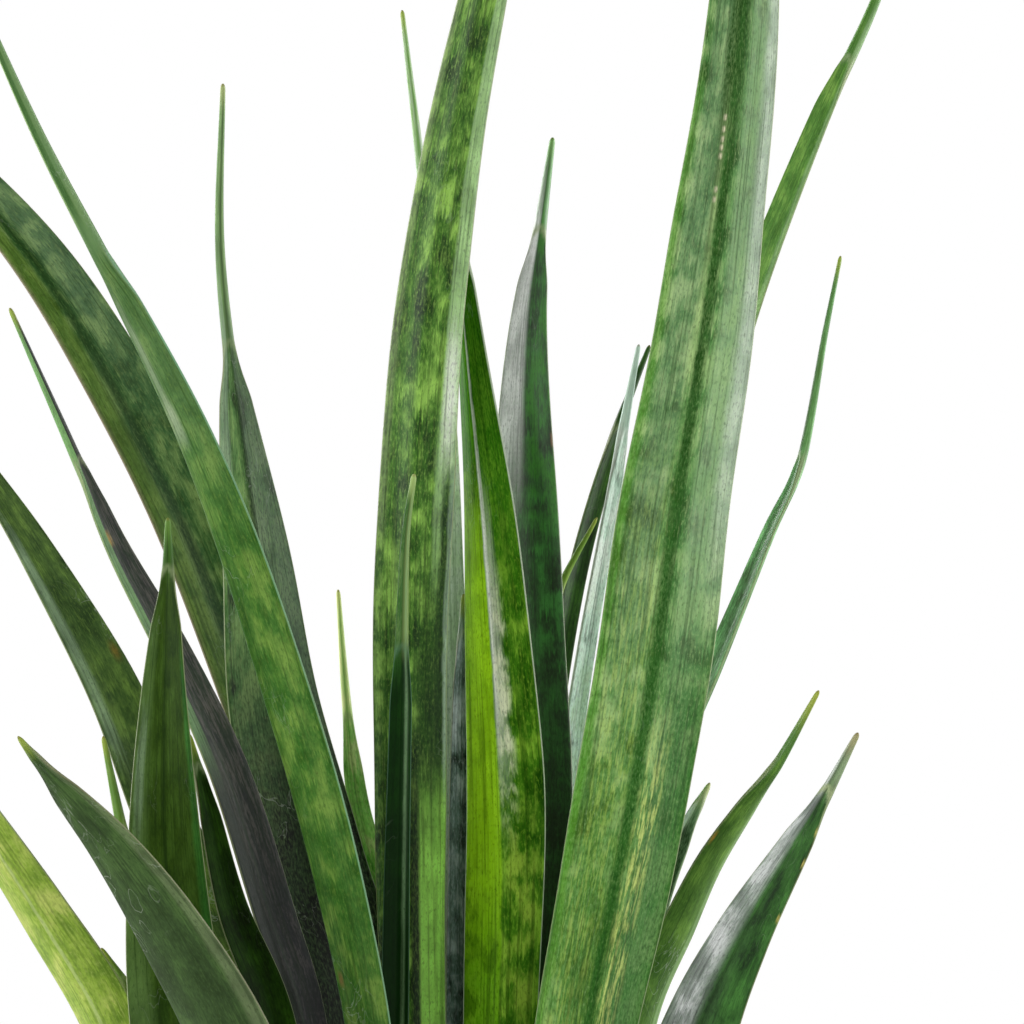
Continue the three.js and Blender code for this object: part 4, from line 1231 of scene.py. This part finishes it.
def show(name, mesh, material, slot, *stands_for):
    """Place a finished piece with its material on the root body, and hide the frame's pieces that it
    replaces. The slot that it is given is not used.
    """
    piece = placed(name, mesh)
    piece.data.materials.append(material)
    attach(piece, "root")
    if stands_for:
        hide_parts(*stands_for)


face_count = 0
node_count = 0
for seed, (name, row) in enumerate(LEAVES.items()):
    leaf = {**COMMON, **row}
    mesh, still_open = wrapped_leaf("blade_" + name, leaf, seed)
    finish = leaf_finish(name, leaf)
    node = "leaf_" + name
    show("blade_" + name, mesh, finish, slot_of[node], node)
    face_count += len(mesh.polygons)
    node_count += len(finish.node_tree.nodes)
    if still_open:
        print(name, "has open edges:", still_open)
print("leaf faces:", face_count, "and nodes in their finishes:", node_count)

# %% [markdown]
# ## The pot
#
# A plain flowerpot is jiggered or thrown earthenware: a tapered wall, a thick rim that is easy to
# grip, and holes in the floor for water. It could be stacked from cylinders, but then the wall would
# have seams. Here one outline of the whole wall is spun once round the middle, and its corners
# are rounded afterwards, as a wet sponge rounds them on the wheel.

# %% Outline of the pot

pot_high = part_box("pot")[1]
POT_HEIGHT = pot_high.z / MM
POT_TOP_RADIUS = pot_high.x / MM
POT_FOOT_RADIUS = 64
POT_WALL = 5.5
POT_FLOOR = 9
RIM_HEIGHT = 24
RIM_PROUD = 4
RIM_STEP = 3


def pot_radius(height):
    """The wall's outer radius at a height, under the rim."""
    return POT_FOOT_RADIUS + (POT_TOP_RADIUS - RIM_PROUD - POT_FOOT_RADIUS) * height / POT_HEIGHT


rim_low = POT_HEIGHT - RIM_HEIGHT
rim_inner = POT_TOP_RADIUS - RIM_PROUD - POT_WALL
pot_outline = [
    (0, 0),
    (POT_FOOT_RADIUS, 0),
    (pot_radius(rim_low), rim_low),
    (POT_TOP_RADIUS, rim_low + RIM_STEP),
    (POT_TOP_RADIUS, POT_HEIGHT),
    (rim_inner, POT_HEIGHT),
    (pot_radius(POT_FLOOR) - POT_WALL, POT_FLOOR),
    (0, POT_FLOOR),
]
print("pot:", round(2 * POT_TOP_RADIUS), "mm across and", round(POT_HEIGHT), "mm high")

# %% Spin the wall

POT_STEPS = 120
# Edges bent by more than this many degrees are corners, and are rounded by this many millimetres
CORNER_ANGLE = 25
CORNER_ROUND = 1.8
CORNER_SEGMENTS = 4


def spun(outline, steps):
    """A closed shell from an outline of radius and height pairs that starts and ends on the axis."""
    bm = bmesh.new()
    verts = [bm.verts.new((radius * MM, 0, height * MM)) for radius, height in outline]
    edges = [bm.edges.new(pair) for pair in zip(verts, verts[1:])]
    bmesh.ops.spin(bm, geom=verts + edges, cent=(0, 0, 0), axis=(0, 0, 1), angle=2 * math.pi,
                   steps=steps, use_merge=True, use_duplicate=False)
    bmesh.ops.remove_doubles(bm, verts=bm.verts, dist=WELD * MM)
    bmesh.ops.recalc_face_normals(bm, faces=bm.faces)
    return bm


def mesh_from(bm, name):
    """Hand a finished bmesh over as a smooth-shaded mesh."""
    mesh = bpy.data.meshes.new(name)
    bm.to_mesh(mesh)
    bm.free()
    mesh.shade_smooth()
    return mesh


bm = spun(pot_outline, POT_STEPS)
corners = [edge for edge in bm.edges if edge.calc_face_angle(0) > math.radians(CORNER_ANGLE)]
bmesh.ops.bevel(bm, geom=corners, offset=CORNER_ROUND * MM, offset_type="OFFSET",
                segments=CORNER_SEGMENTS, profile=0.5, affect="EDGES", material=-1)
wall_mesh = mesh_from(bm, "earthenware_pot")
print("faces of the spun wall:", len(wall_mesh.polygons))

# %% [markdown]
# ## Drain holes
#
# The potter pushes a few holes through the floor while the clay is soft. Loops could be cut into the
# floor by hand, but a Boolean modifier does it in one step: five round bars stand through the floor,
# and their shape is taken out of the pot.

# %% Cut the drain holes

DRAIN_HOLES = 5
DRAIN_RADIUS = 5.5
DRAIN_RING_RADIUS = 34
DRAIN_SEGMENTS = 40
# The bars are this many times as long as the floor is thick
BAR_REACH = 4
SHARP_ANGLE = 40


def applied(blank):
    """The mesh that an object's modifiers give. The object itself is removed."""
    bpy.context.view_layer.update()
    ready = blank.evaluated_get(bpy.context.evaluated_depsgraph_get())
    made = bpy.data.meshes.new_from_object(ready)
    bpy.data.objects.remove(blank)
    return made


bars = bmesh.new()
for index in range(DRAIN_HOLES):
    turn = 2 * math.pi * index / DRAIN_HOLES
    place = Vector((math.cos(turn), math.sin(turn), 0)) * DRAIN_RING_RADIUS * MM
    bmesh.ops.create_cone(bars, cap_ends=True, segments=DRAIN_SEGMENTS, radius1=DRAIN_RADIUS * MM,
                          radius2=DRAIN_RADIUS * MM, depth=BAR_REACH * POT_FLOOR * MM,
                          matrix=Matrix.Translation(place))
cutter = placed("drain_cutter", mesh_from(bars, "drain_cutter"))
blank = placed("blank", wall_mesh)
cut = blank.modifiers.new("holes", "BOOLEAN")
cut.operation = "DIFFERENCE"
cut.solver = "EXACT"
cut.object = cutter
pot_mesh = applied(blank)
bpy.data.objects.remove(cutter)
pot_mesh.shade_smooth()
pot_mesh.set_sharp_from_angle(angle=math.radians(SHARP_ANGLE))
print("pot faces:", len(pot_mesh.polygons))

# %% [markdown]
# ## Fired earthenware
#
# Unglazed clay is matt and orange-brown, a little paler where salts from the water have dried on
# it, and marked by fine level lines from the wheel. The lines and stains could be a picture. Here a
# noise that is squashed in height gives the lines, a fine one gives the grit with its dark specks, and
# a coarse one gives the salt stains.

# %% Earthenware material

# In millimetres: the height and length of the wheel's lines, the size of the grit and of the stains,
# and the relief
WHEEL_LINE = 1.6
WHEEL_LINE_WIDE = 90
GRIT = 1.1
STAIN = 46
CLAY_RELIEF = 0.35
CLAY_IOR = 1.5
CLAY_ROUGHNESS = 0.88

earthenware, tree, shader = new_material("fired_earthenware")
at_point = add(tree, COORDINATES, {}, {}).outputs["Object"]
wide = 1 / (WHEEL_LINE_WIDE * MM)
scaled = add(tree, MAPPING, {}, {"Vector": at_point, "Scale": (wide, wide, 1 / (WHEEL_LINE * MM))})
lines = add(tree, NOISE, {}, {"Vector": scaled.outputs[0], "Scale": 1.0, "Detail": 3.0}).outputs["Fac"]
grit = add(tree, NOISE, {}, {"Vector": at_point, "Scale": 1 / (GRIT * MM), "Detail": 4.0,
                             "Roughness": 0.7}).outputs["Fac"]
stain = add(tree, NOISE, {}, {"Vector": at_point, "Scale": 1 / (STAIN * MM), "Detail": 3.0,
                              "Roughness": 0.5}).outputs["Fac"]
warm = add(tree, RANGE, {}, {0: lines, 1: 0.3, 2: 0.7, 3: 0, 4: 0.55}).outputs[0]
speck = add(tree, RANGE, SMOOTH, {0: grit, 1: 0.36, 2: 0.28, 3: 0, 4: 0.5}).outputs[0]
salt = add(tree, RANGE, SMOOTH, {0: stain, 1: 0.5, 2: 0.8, 3: 0, 4: 0.34}).outputs[0]
colour = painted(tree, linear("#b0623f"), [(warm, "#c47a55"), (speck, "#86452b"), (salt, "#dcc1ab")])
tree.links.new(colour, shader.inputs["Base Color"])
shader.inputs["Roughness"].default_value = CLAY_ROUGHNESS
shader.inputs["IOR"].default_value = CLAY_IOR
height = add(tree, MATH, TIMES_PLUS, {0: grit, 1: 0.6, 2: lines}).outputs[0]
relief = add(tree, BUMP, {}, {"Height": height, "Distance": CLAY_RELIEF * MM, "Strength": 0.7})
tree.links.new(relief.outputs[0], shader.inputs["Normal"])
show("earthenware_pot", pot_mesh, earthenware, slot_of["pot"], "pot")
print("nodes in the earthenware:", len(tree.nodes))

# %% [markdown]
# ## The soil
#
# Potting mix is peat and coir with bark chips and white perlite. It lies in soft heaps round the
# leaves and has settled a little lower at the wall. A flat disc with a picture on it would look flat
# from the side, so the top is a fine ring grid that noise lifts into clods, and the chips
# and grains are small solids laid on it.

# %% Raise the soil

soil_low, soil_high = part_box("soil")
SOIL_RADIUS = soil_high.x / MM
SOIL_BOTTOM = soil_low.z / MM
# The soil's foot is this share of its radius, as the pot narrows downwards
SOIL_FOOT_SHARE = 0.8
SOIL_RINGS = 62
SOIL_STEPS = 210
# How far the soil has settled at the wall, and how much higher it stands in the middle
SETTLED = 1.5
MOUND = 5.0
# Height and size of the clods, in millimetres, from coarse to fine
CLODS = ((2.4, 17), (1.5, 6.5), (0.8, 2.6))
# Vertices less than this below the soil's top belong to it
TOP_DEPTH = 1


def soil_height(x, y):
    """The soil's height in millimetres above the pot's underside, at a place in millimetres."""
    out = math.hypot(x, y) / SOIL_RADIUS
    height = SOIL_TOP - SETTLED + MOUND * (1 - out * out)
    for depth, size in CLODS:
        height += depth * noise.noise(Vector((x / size, y / size, size)))
    return height


top = [(SOIL_RADIUS * (ring / SOIL_RINGS), SOIL_TOP) for ring in range(SOIL_RINGS + 1)]
soil_outline = [*top, (SOIL_RADIUS * SOIL_FOOT_SHARE, SOIL_BOTTOM), (0, SOIL_BOTTOM)]
bm = spun(soil_outline, SOIL_STEPS)
for vertex in bm.verts:
    if vertex.co.z > (SOIL_TOP - TOP_DEPTH) * MM:
        vertex.co.z = soil_height(vertex.co.x / MM, vertex.co.y / MM) * MM
soil_mesh = mesh_from(bm, "potting_mix")
print("soil faces:", len(soil_mesh.polygons))

# %% [markdown]
# ## Damp peat and coir
#
# Peat is almost black where it is damp and brown where it has dried, in crumbs of a millimetre or two.
# It has no shine at all. A plain brown would look like felt, so one noise as fine as the crumbs mixes
# the two browns and gives the relief, and one as coarse as a thumb gives the damp places.

# %% Potting mix material

# Size of a crumb and of a damp place, and the relief, in millimetres
CRUMB = 1.4
DAMP = 26
CRUMB_RELIEF = 0.9

potting_mix, tree, shader = new_material("damp_peat_and_coir")
at_point = add(tree, COORDINATES, {}, {}).outputs["Object"]
crumb = add(tree, NOISE, {}, {"Vector": at_point, "Scale": 1 / (CRUMB * MM), "Detail": 5.0,
                              "Roughness": 0.7}).outputs["Fac"]
damp = add(tree, NOISE, {}, {"Vector": at_point, "Scale": 1 / (DAMP * MM), "Detail": 3.0}).outputs["Fac"]
dried = add(tree, RANGE, {}, {0: crumb, 1: 0.35, 2: 0.65}).outputs[0]
wet = add(tree, RANGE, {}, {0: damp, 1: 0.42, 2: 0.62, 3: 0, 4: 0.6}).outputs[0]
colour = painted(tree, linear("#1d130c"), [(dried, "#4b3423"), (wet, "#22170f")])
tree.links.new(colour, shader.inputs["Base Color"])
shader.inputs["Roughness"].default_value = 0.95
relief = add(tree, BUMP, {}, {"Height": crumb, "Distance": CRUMB_RELIEF * MM, "Strength": 0.9})
tree.links.new(relief.outputs[0], shader.inputs["Normal"])
show("potting_mix", soil_mesh, potting_mix, slot_of["soil"], "soil")
print("nodes in the potting mix:", len(tree.nodes))

# %% [markdown]
# ## Chips and grains
#
# Hundreds of bark chips and perlite grains lie on the soil. A particle system could scatter them, but it
# doesn't keep clear of the leaves. So a loop draws a place and a size for each, skips the places at
# a leaf's foot, and lays down an icosphere of few faces, squashed and pushed out of shape.

# %% Scatter small solids on the soil

# A leaf leaves the soil about this share of the way up the first span of its route
FOOT_SHARE = 0.2
feet = [Vector(row["route"][0][:2]).lerp(Vector(row["route"][1][:2]), FOOT_SHARE)
        for row in LEAVES.values()]
# Room kept free at the wall and round a leaf's foot, in millimetres
WALL_ROOM = 4
FOOT_ROOM = 7
# How deep a grain sits, as a share of its height, how far it tilts in radians, and how rough it is
SUNK = 0.25
TILT = 0.35
ROUGH = 0.12


def scattered(name, count, seed, sizes, flatness, spread):
    """Small rough solids laid on the soil, clear of the leaves' feet, all in one mesh."""
    draw = random.Random(seed)
    bm = bmesh.new()
    laid = 0
    while laid < count:
        turn = draw.uniform(0, 2 * math.pi)
        out = (SOIL_RADIUS - WALL_ROOM) * math.sqrt(draw.random())
        x, y = out * math.cos(turn), out * math.sin(turn)
        reach = draw.uniform(*sizes) / 2
        if min((Vector((x, y)) - foot).length for foot in feet) < FOOT_ROOM + reach:
            continue
        low = soil_height(x, y) - reach * flatness * SUNK
        shape = Matrix.Diagonal((reach, reach * draw.uniform(*spread), reach * flatness, 1))
        tilt = Matrix.Rotation(draw.gauss(0, TILT), 4, "X") @ Matrix.Rotation(draw.gauss(0, TILT), 4, "Y")
        spin = Matrix.Rotation(draw.uniform(0, 2 * math.pi), 4, "Z")
        place = Matrix.Translation(Vector((x, y, low)))
        made = bmesh.ops.create_icosphere(bm, subdivisions=1, radius=1,
                                          matrix=Matrix.Scale(MM, 4) @ place @ tilt @ spin @ shape)
        for vertex in made["verts"]:
            push = [draw.gauss(0, ROUGH) * reach * MM for axis in range(3)]
            vertex.co += Vector(push) * flatness ** 0.5
        laid += 1
    return mesh_from(bm, name)


# sizes: the smallest and largest, in millimetres. spread: width against length. Bark is flat flakes
# with sharp edges, and perlite is round
chip_mesh = scattered("bark_chips", count=620, seed=11, sizes=(3.0, 9.5), flatness=0.34, spread=(0.3, 0.7))
chip_mesh.shade_flat()
perlite_mesh = scattered("perlite_grains", count=210, seed=12, sizes=(1.8, 4.2), flatness=0.8,
                         spread=(0.7, 1.0))
print("chip faces:", len(chip_mesh.polygons), "perlite faces:", len(perlite_mesh.polygons))

# %% [markdown]
# ## Shredded pine bark
#
# Bark is shredded dry, so a chip is dull and shows torn fibres, and its colour runs from nearly black on
# the outside to tan inside. Each chip could have a colour of its own, but then one material for
# all of them wouldn't do. A slow noise changes the colour from chip to chip, and one about as fine as
# a fibre gives the torn surface.

# %% Bark material

# Length over which the colour changes, width of a fibre, and the relief, in millimetres
BARK_TONE = 5
BARK_FIBRE = 0.9
BARK_RELIEF = 0.4

bark, tree, shader = new_material("shredded_pine_bark")
at_point = add(tree, COORDINATES, {}, {}).outputs["Object"]
tone = add(tree, NOISE, {}, {"Vector": at_point, "Scale": 1 / (BARK_TONE * MM),
                             "Detail": 2.0}).outputs["Fac"]
fibre = add(tree, NOISE, {}, {"Vector": at_point, "Scale": 1 / (BARK_FIBRE * MM),
                              "Detail": 4.0}).outputs["Fac"]
inside = add(tree, RANGE, {}, {0: tone, 1: 0.35, 2: 0.65}).outputs[0]
tree.links.new(painted(tree, linear("#2a1a10"), [(inside, "#6e4a2e")]), shader.inputs["Base Color"])
shader.inputs["Roughness"].default_value = 0.85
relief = add(tree, BUMP, {}, {"Height": fibre, "Distance": BARK_RELIEF * MM, "Strength": 0.8})
tree.links.new(relief.outputs[0], shader.inputs["Normal"])
show("bark_chips", chip_mesh, bark, slot_of["soil"])
print("nodes in the bark:", len(tree.nodes))

# %% [markdown]
# ## Expanded perlite
#
# Perlite is volcanic glass that was heated until it foamed. The eye sees chalky white grains with small
# pits, soiled brown here and there by the peat. The pits are too small and too many to model. Cells of a
# Voronoi texture, as small as the bubbles, make them, and a slower noise makes the soiled places.

# %% Perlite material

# Width of a bubble, size of a soiled place, and the relief, in millimetres
BUBBLE = 0.6
SOILED = 3
PERLITE_RELIEF = 0.2

perlite, tree, shader = new_material("expanded_perlite")
at_point = add(tree, COORDINATES, {}, {}).outputs["Object"]
pits = add(tree, CELLS, {}, {"Vector": at_point, "Scale": 1 / (BUBBLE * MM)}).outputs["Distance"]
dust = add(tree, NOISE, {}, {"Vector": at_point, "Scale": 1 / (SOILED * MM), "Detail": 3.0}).outputs["Fac"]
soiled = add(tree, RANGE, {}, {0: dust, 1: 0.45, 2: 0.7, 3: 0, 4: 0.7}).outputs[0]
tree.links.new(painted(tree, linear("#e6e2d8"), [(soiled, "#9d8a74")]), shader.inputs["Base Color"])
shader.inputs["Roughness"].default_value = 0.9
relief = add(tree, BUMP, {}, {"Height": pits, "Distance": PERLITE_RELIEF * MM, "Strength": 0.8})
tree.links.new(relief.outputs[0], shader.inputs["Normal"])
show("perlite_grains", perlite_mesh, perlite, "perlite")
print("nodes in the perlite:", len(tree.nodes))

# %% [markdown]
# ## The rhizome
#
# Under the soil the leaves grow from one thick creeping stem. It is orange-brown, knotty, and ringed
# by the scars of its scales. The frame's solid is a plain join of knots and runners. It could be
# sculpted. Here a copy of it is turned into even small faces, relaxed, and ringed by a formula.

# %% Grow the rhizome

# Size of the even faces, in millimetres, and how strongly and how often they are relaxed
VOXEL = 1.6
RELAX = 0.5
RELAX_PASSES = 14
# Distance from scar to scar and their depth, in millimetres. A higher power makes them narrower
RING_SPACING = 7.5
RING_DEPTH = 0.35
RING_POWER = 4

rough = bmesh.new()
rough.from_mesh(frame["nodes"]["rhizome"].data)
bmesh.ops.remove_doubles(rough, verts=rough.verts, dist=WELD * MM)
blank = placed("blank", mesh_from(rough, "rhizome_blank"))
even = blank.modifiers.new("even faces", "REMESH")
even.mode = "VOXEL"
even.voxel_size = VOXEL * MM
relax = blank.modifiers.new("relaxed", "SMOOTH")
relax.factor = RELAX
relax.iterations = RELAX_PASSES
rhizome_mesh = applied(blank)

bm = bmesh.new()
bm.from_mesh(rhizome_mesh)
bm.normal_update()
for vertex in bm.verts:
    out = math.hypot(vertex.co.x, vertex.co.y) / MM
    ring = abs(math.sin(math.pi * out / RING_SPACING)) ** RING_POWER
    vertex.co -= vertex.normal * RING_DEPTH * ring * MM
bm.to_mesh(rhizome_mesh)
bm.free()
rhizome_mesh.shade_smooth()
print("rhizome faces:", len(rhizome_mesh.polygons))

# %% [markdown]
# ## Corky skin
#
# The rhizome's skin is a thin dry cork, dull and mottled from honey to brown. Colour and relief could
# have a noise each. One does for both, because on the real one the darker places are also raised.

# %% Rhizome material

# Size of a blotch and the relief, in millimetres
BLOTCH = 9
CORK_RELIEF = 0.5

rhizome_skin, tree, shader = new_material("corky_rhizome_skin")
at_point = add(tree, COORDINATES, {}, {}).outputs["Object"]
blotch = add(tree, NOISE, {}, {"Vector": at_point, "Scale": 1 / (BLOTCH * MM), "Detail": 5.0}).outputs["Fac"]
brown = add(tree, RANGE, {}, {0: blotch, 1: 0.4, 2: 0.65}).outputs[0]
tree.links.new(painted(tree, linear("#d39a52"), [(brown, "#8c5a30")]), shader.inputs["Base Color"])
shader.inputs["Roughness"].default_value = 0.7
relief = add(tree, BUMP, {}, {"Height": blotch, "Distance": CORK_RELIEF * MM, "Strength": 0.6})
tree.links.new(relief.outputs[0], shader.inputs["Normal"])
show("creeping_rhizome", rhizome_mesh, rhizome_skin, slot_of["rhizome"], "rhizome")
print("nodes in the cork:", len(tree.nodes))

# %% [markdown]
# ## The floor
#
# The plant is shown against white, with hardly any floor to see. A large plain plane would show a line
# where it ends. So the floor is a round sheet of matt paper that thins out towards its edge, and the
# white room behind it takes over.

# %% Floor

# The sheet's radius in metres, and where it starts to thin out and is gone, as shares of that
FLOOR_RADIUS = 1.4
FADE_FROM = 0.5
FADE_TO = 0.97

bm = bmesh.new()
bmesh.ops.create_circle(bm, cap_ends=True, segments=96, radius=FLOOR_RADIUS)
floor_mesh = bpy.data.meshes.new("floor")
bm.to_mesh(floor_mesh)
bm.free()
floor = placed("floor", floor_mesh)
paper, tree, shader = new_material("matt_pale_paper")
shader.inputs["Base Color"].default_value = linear("#e9e8e6")
shader.inputs["Roughness"].default_value = 0.9
on_sheet = add(tree, COORDINATES, {}, {}).outputs["Object"]
from_middle = add(tree, VECTOR, {"operation": "LENGTH"}, {0: on_sheet}).outputs["Value"]
faded = add(tree, RANGE, SMOOTH, {0: from_middle, 1: FADE_FROM * FLOOR_RADIUS, 2: FADE_TO * FLOOR_RADIUS,
                                  3: 1, 4: 0})
tree.links.new(faded.outputs[0], shader.inputs["Alpha"])
floor_mesh.materials.append(paper)
print("floor:", 2 * FLOOR_RADIUS, "m across")

# %% [markdown]
# ## Light
#
# Stiff leaves show their form by the light that grazes them from the sides, so the softboxes stand
# low round the plant, stronger behind it than in front. One big light from above would flatten
# the channels. The room itself is white to the camera but gives almost no light.

# %% Softboxes

SCENE = bpy.context.scene
SCENE.view_settings.view_transform = "Standard"
# Where each softbox stands, in degrees round the plant from the camera and up, and its power in watts
SOFTBOXES = {
    "left_back": (-132, 12, 42), "left": (-88, 12, 18), "left_front": (-40, 12, 28),
    "right_back": (118, 12, 34), "right": (88, 12, 20), "right_front": (55, 12, 9),
    "front": (15, 12, 6),
}
# In metres: the distance, the width and height of a box, and the height of the plant's middle
LIGHT_DISTANCE = 2.2
LIGHT_SIZE = (1.1, 1.7)
MIDDLE_HEIGHT = 0.4


def soft_light(name, place, aim, size, power):
    """A flat area light that looks from its place to its aim."""
    data = bpy.data.lights.new(name, "AREA")
    data.shape = "RECTANGLE"
    data.size, data.size_y = size
    data.energy = power
    direction = Vector(aim) - Vector(place)
    turn = direction.to_track_quat("-Z", "Y").to_matrix().to_4x4()
    placed(name, data).matrix_world = Matrix.Translation(place) @ turn


for name, (turn, rise, power) in SOFTBOXES.items():
    turn, rise = math.radians(turn), math.radians(rise)
    flat = LIGHT_DISTANCE * math.cos(rise)
    place = (flat * math.sin(turn), -flat * math.cos(turn), MIDDLE_HEIGHT + LIGHT_DISTANCE * math.sin(rise))
    soft_light("softbox_" + name, place, (0, 0, MIDDLE_HEIGHT), LIGHT_SIZE, power)
print("softboxes:", len(SOFTBOXES))

# %% White room

# Strength of the room's white as a light, and as the camera sees it
ROOM_LIGHT = 0.02
ROOM_SEEN = 1.0

world = bpy.data.worlds.new("white_room")
world.use_nodes = True
room = world.node_tree
background = room.nodes["Background"]
seen = add(room, "ShaderNodeLightPath", {}, {}).outputs["Is Camera Ray"]
strength = add(room, RANGE, {}, {0: seen, 3: ROOM_LIGHT, 4: ROOM_SEEN})
background.inputs["Color"].default_value = (1, 1, 1, 1)
room.links.new(strength.outputs[0], background.inputs["Strength"])
SCENE.world = world
print("the room's light against a full one:", ROOM_LIGHT)

# %% [markdown]
# ## Camera
#
# The camera looks level at the plant from far off, because the leaves show hardly any perspective. A
# wide lens close by would spread their tips. From 3 m away a long lens takes in about 307 mm at the
# plant's middle, which is 0.30 mm for each of the picture's 1024 pixels.

# %% Camera

SENSOR_WIDTH = 36
FOCAL_LENGTH = 351.6
FARTHEST = 50
# Metres to the plant's right, in front of it, and up
CAMERA_PLACE = (0.0246, -3.0, 0.4016)

lens = bpy.data.cameras.new("camera")
lens.sensor_width = SENSOR_WIDTH
lens.lens = FOCAL_LENGTH
lens.clip_end = FARTHEST
camera = placed("camera", lens)
camera.matrix_world = Matrix.Translation(CAMERA_PLACE) @ Matrix.Rotation(math.radians(90), 4, "X")
SCENE.camera = camera
print("view at the plant's middle:", round(1000 * SENSOR_WIDTH / FOCAL_LENGTH * -CAMERA_PLACE[1]), "mm wide")

# %% [markdown]
# ## Last update
#
# A dressed model that has grown past its frame no longer fits where the frame fits. Its size could be read
# off in the viewport. Here the scene is only brought up to date, so that every piece stands where it was
# placed.

# %% Bring the scene up to date

bpy.context.view_layer.update()
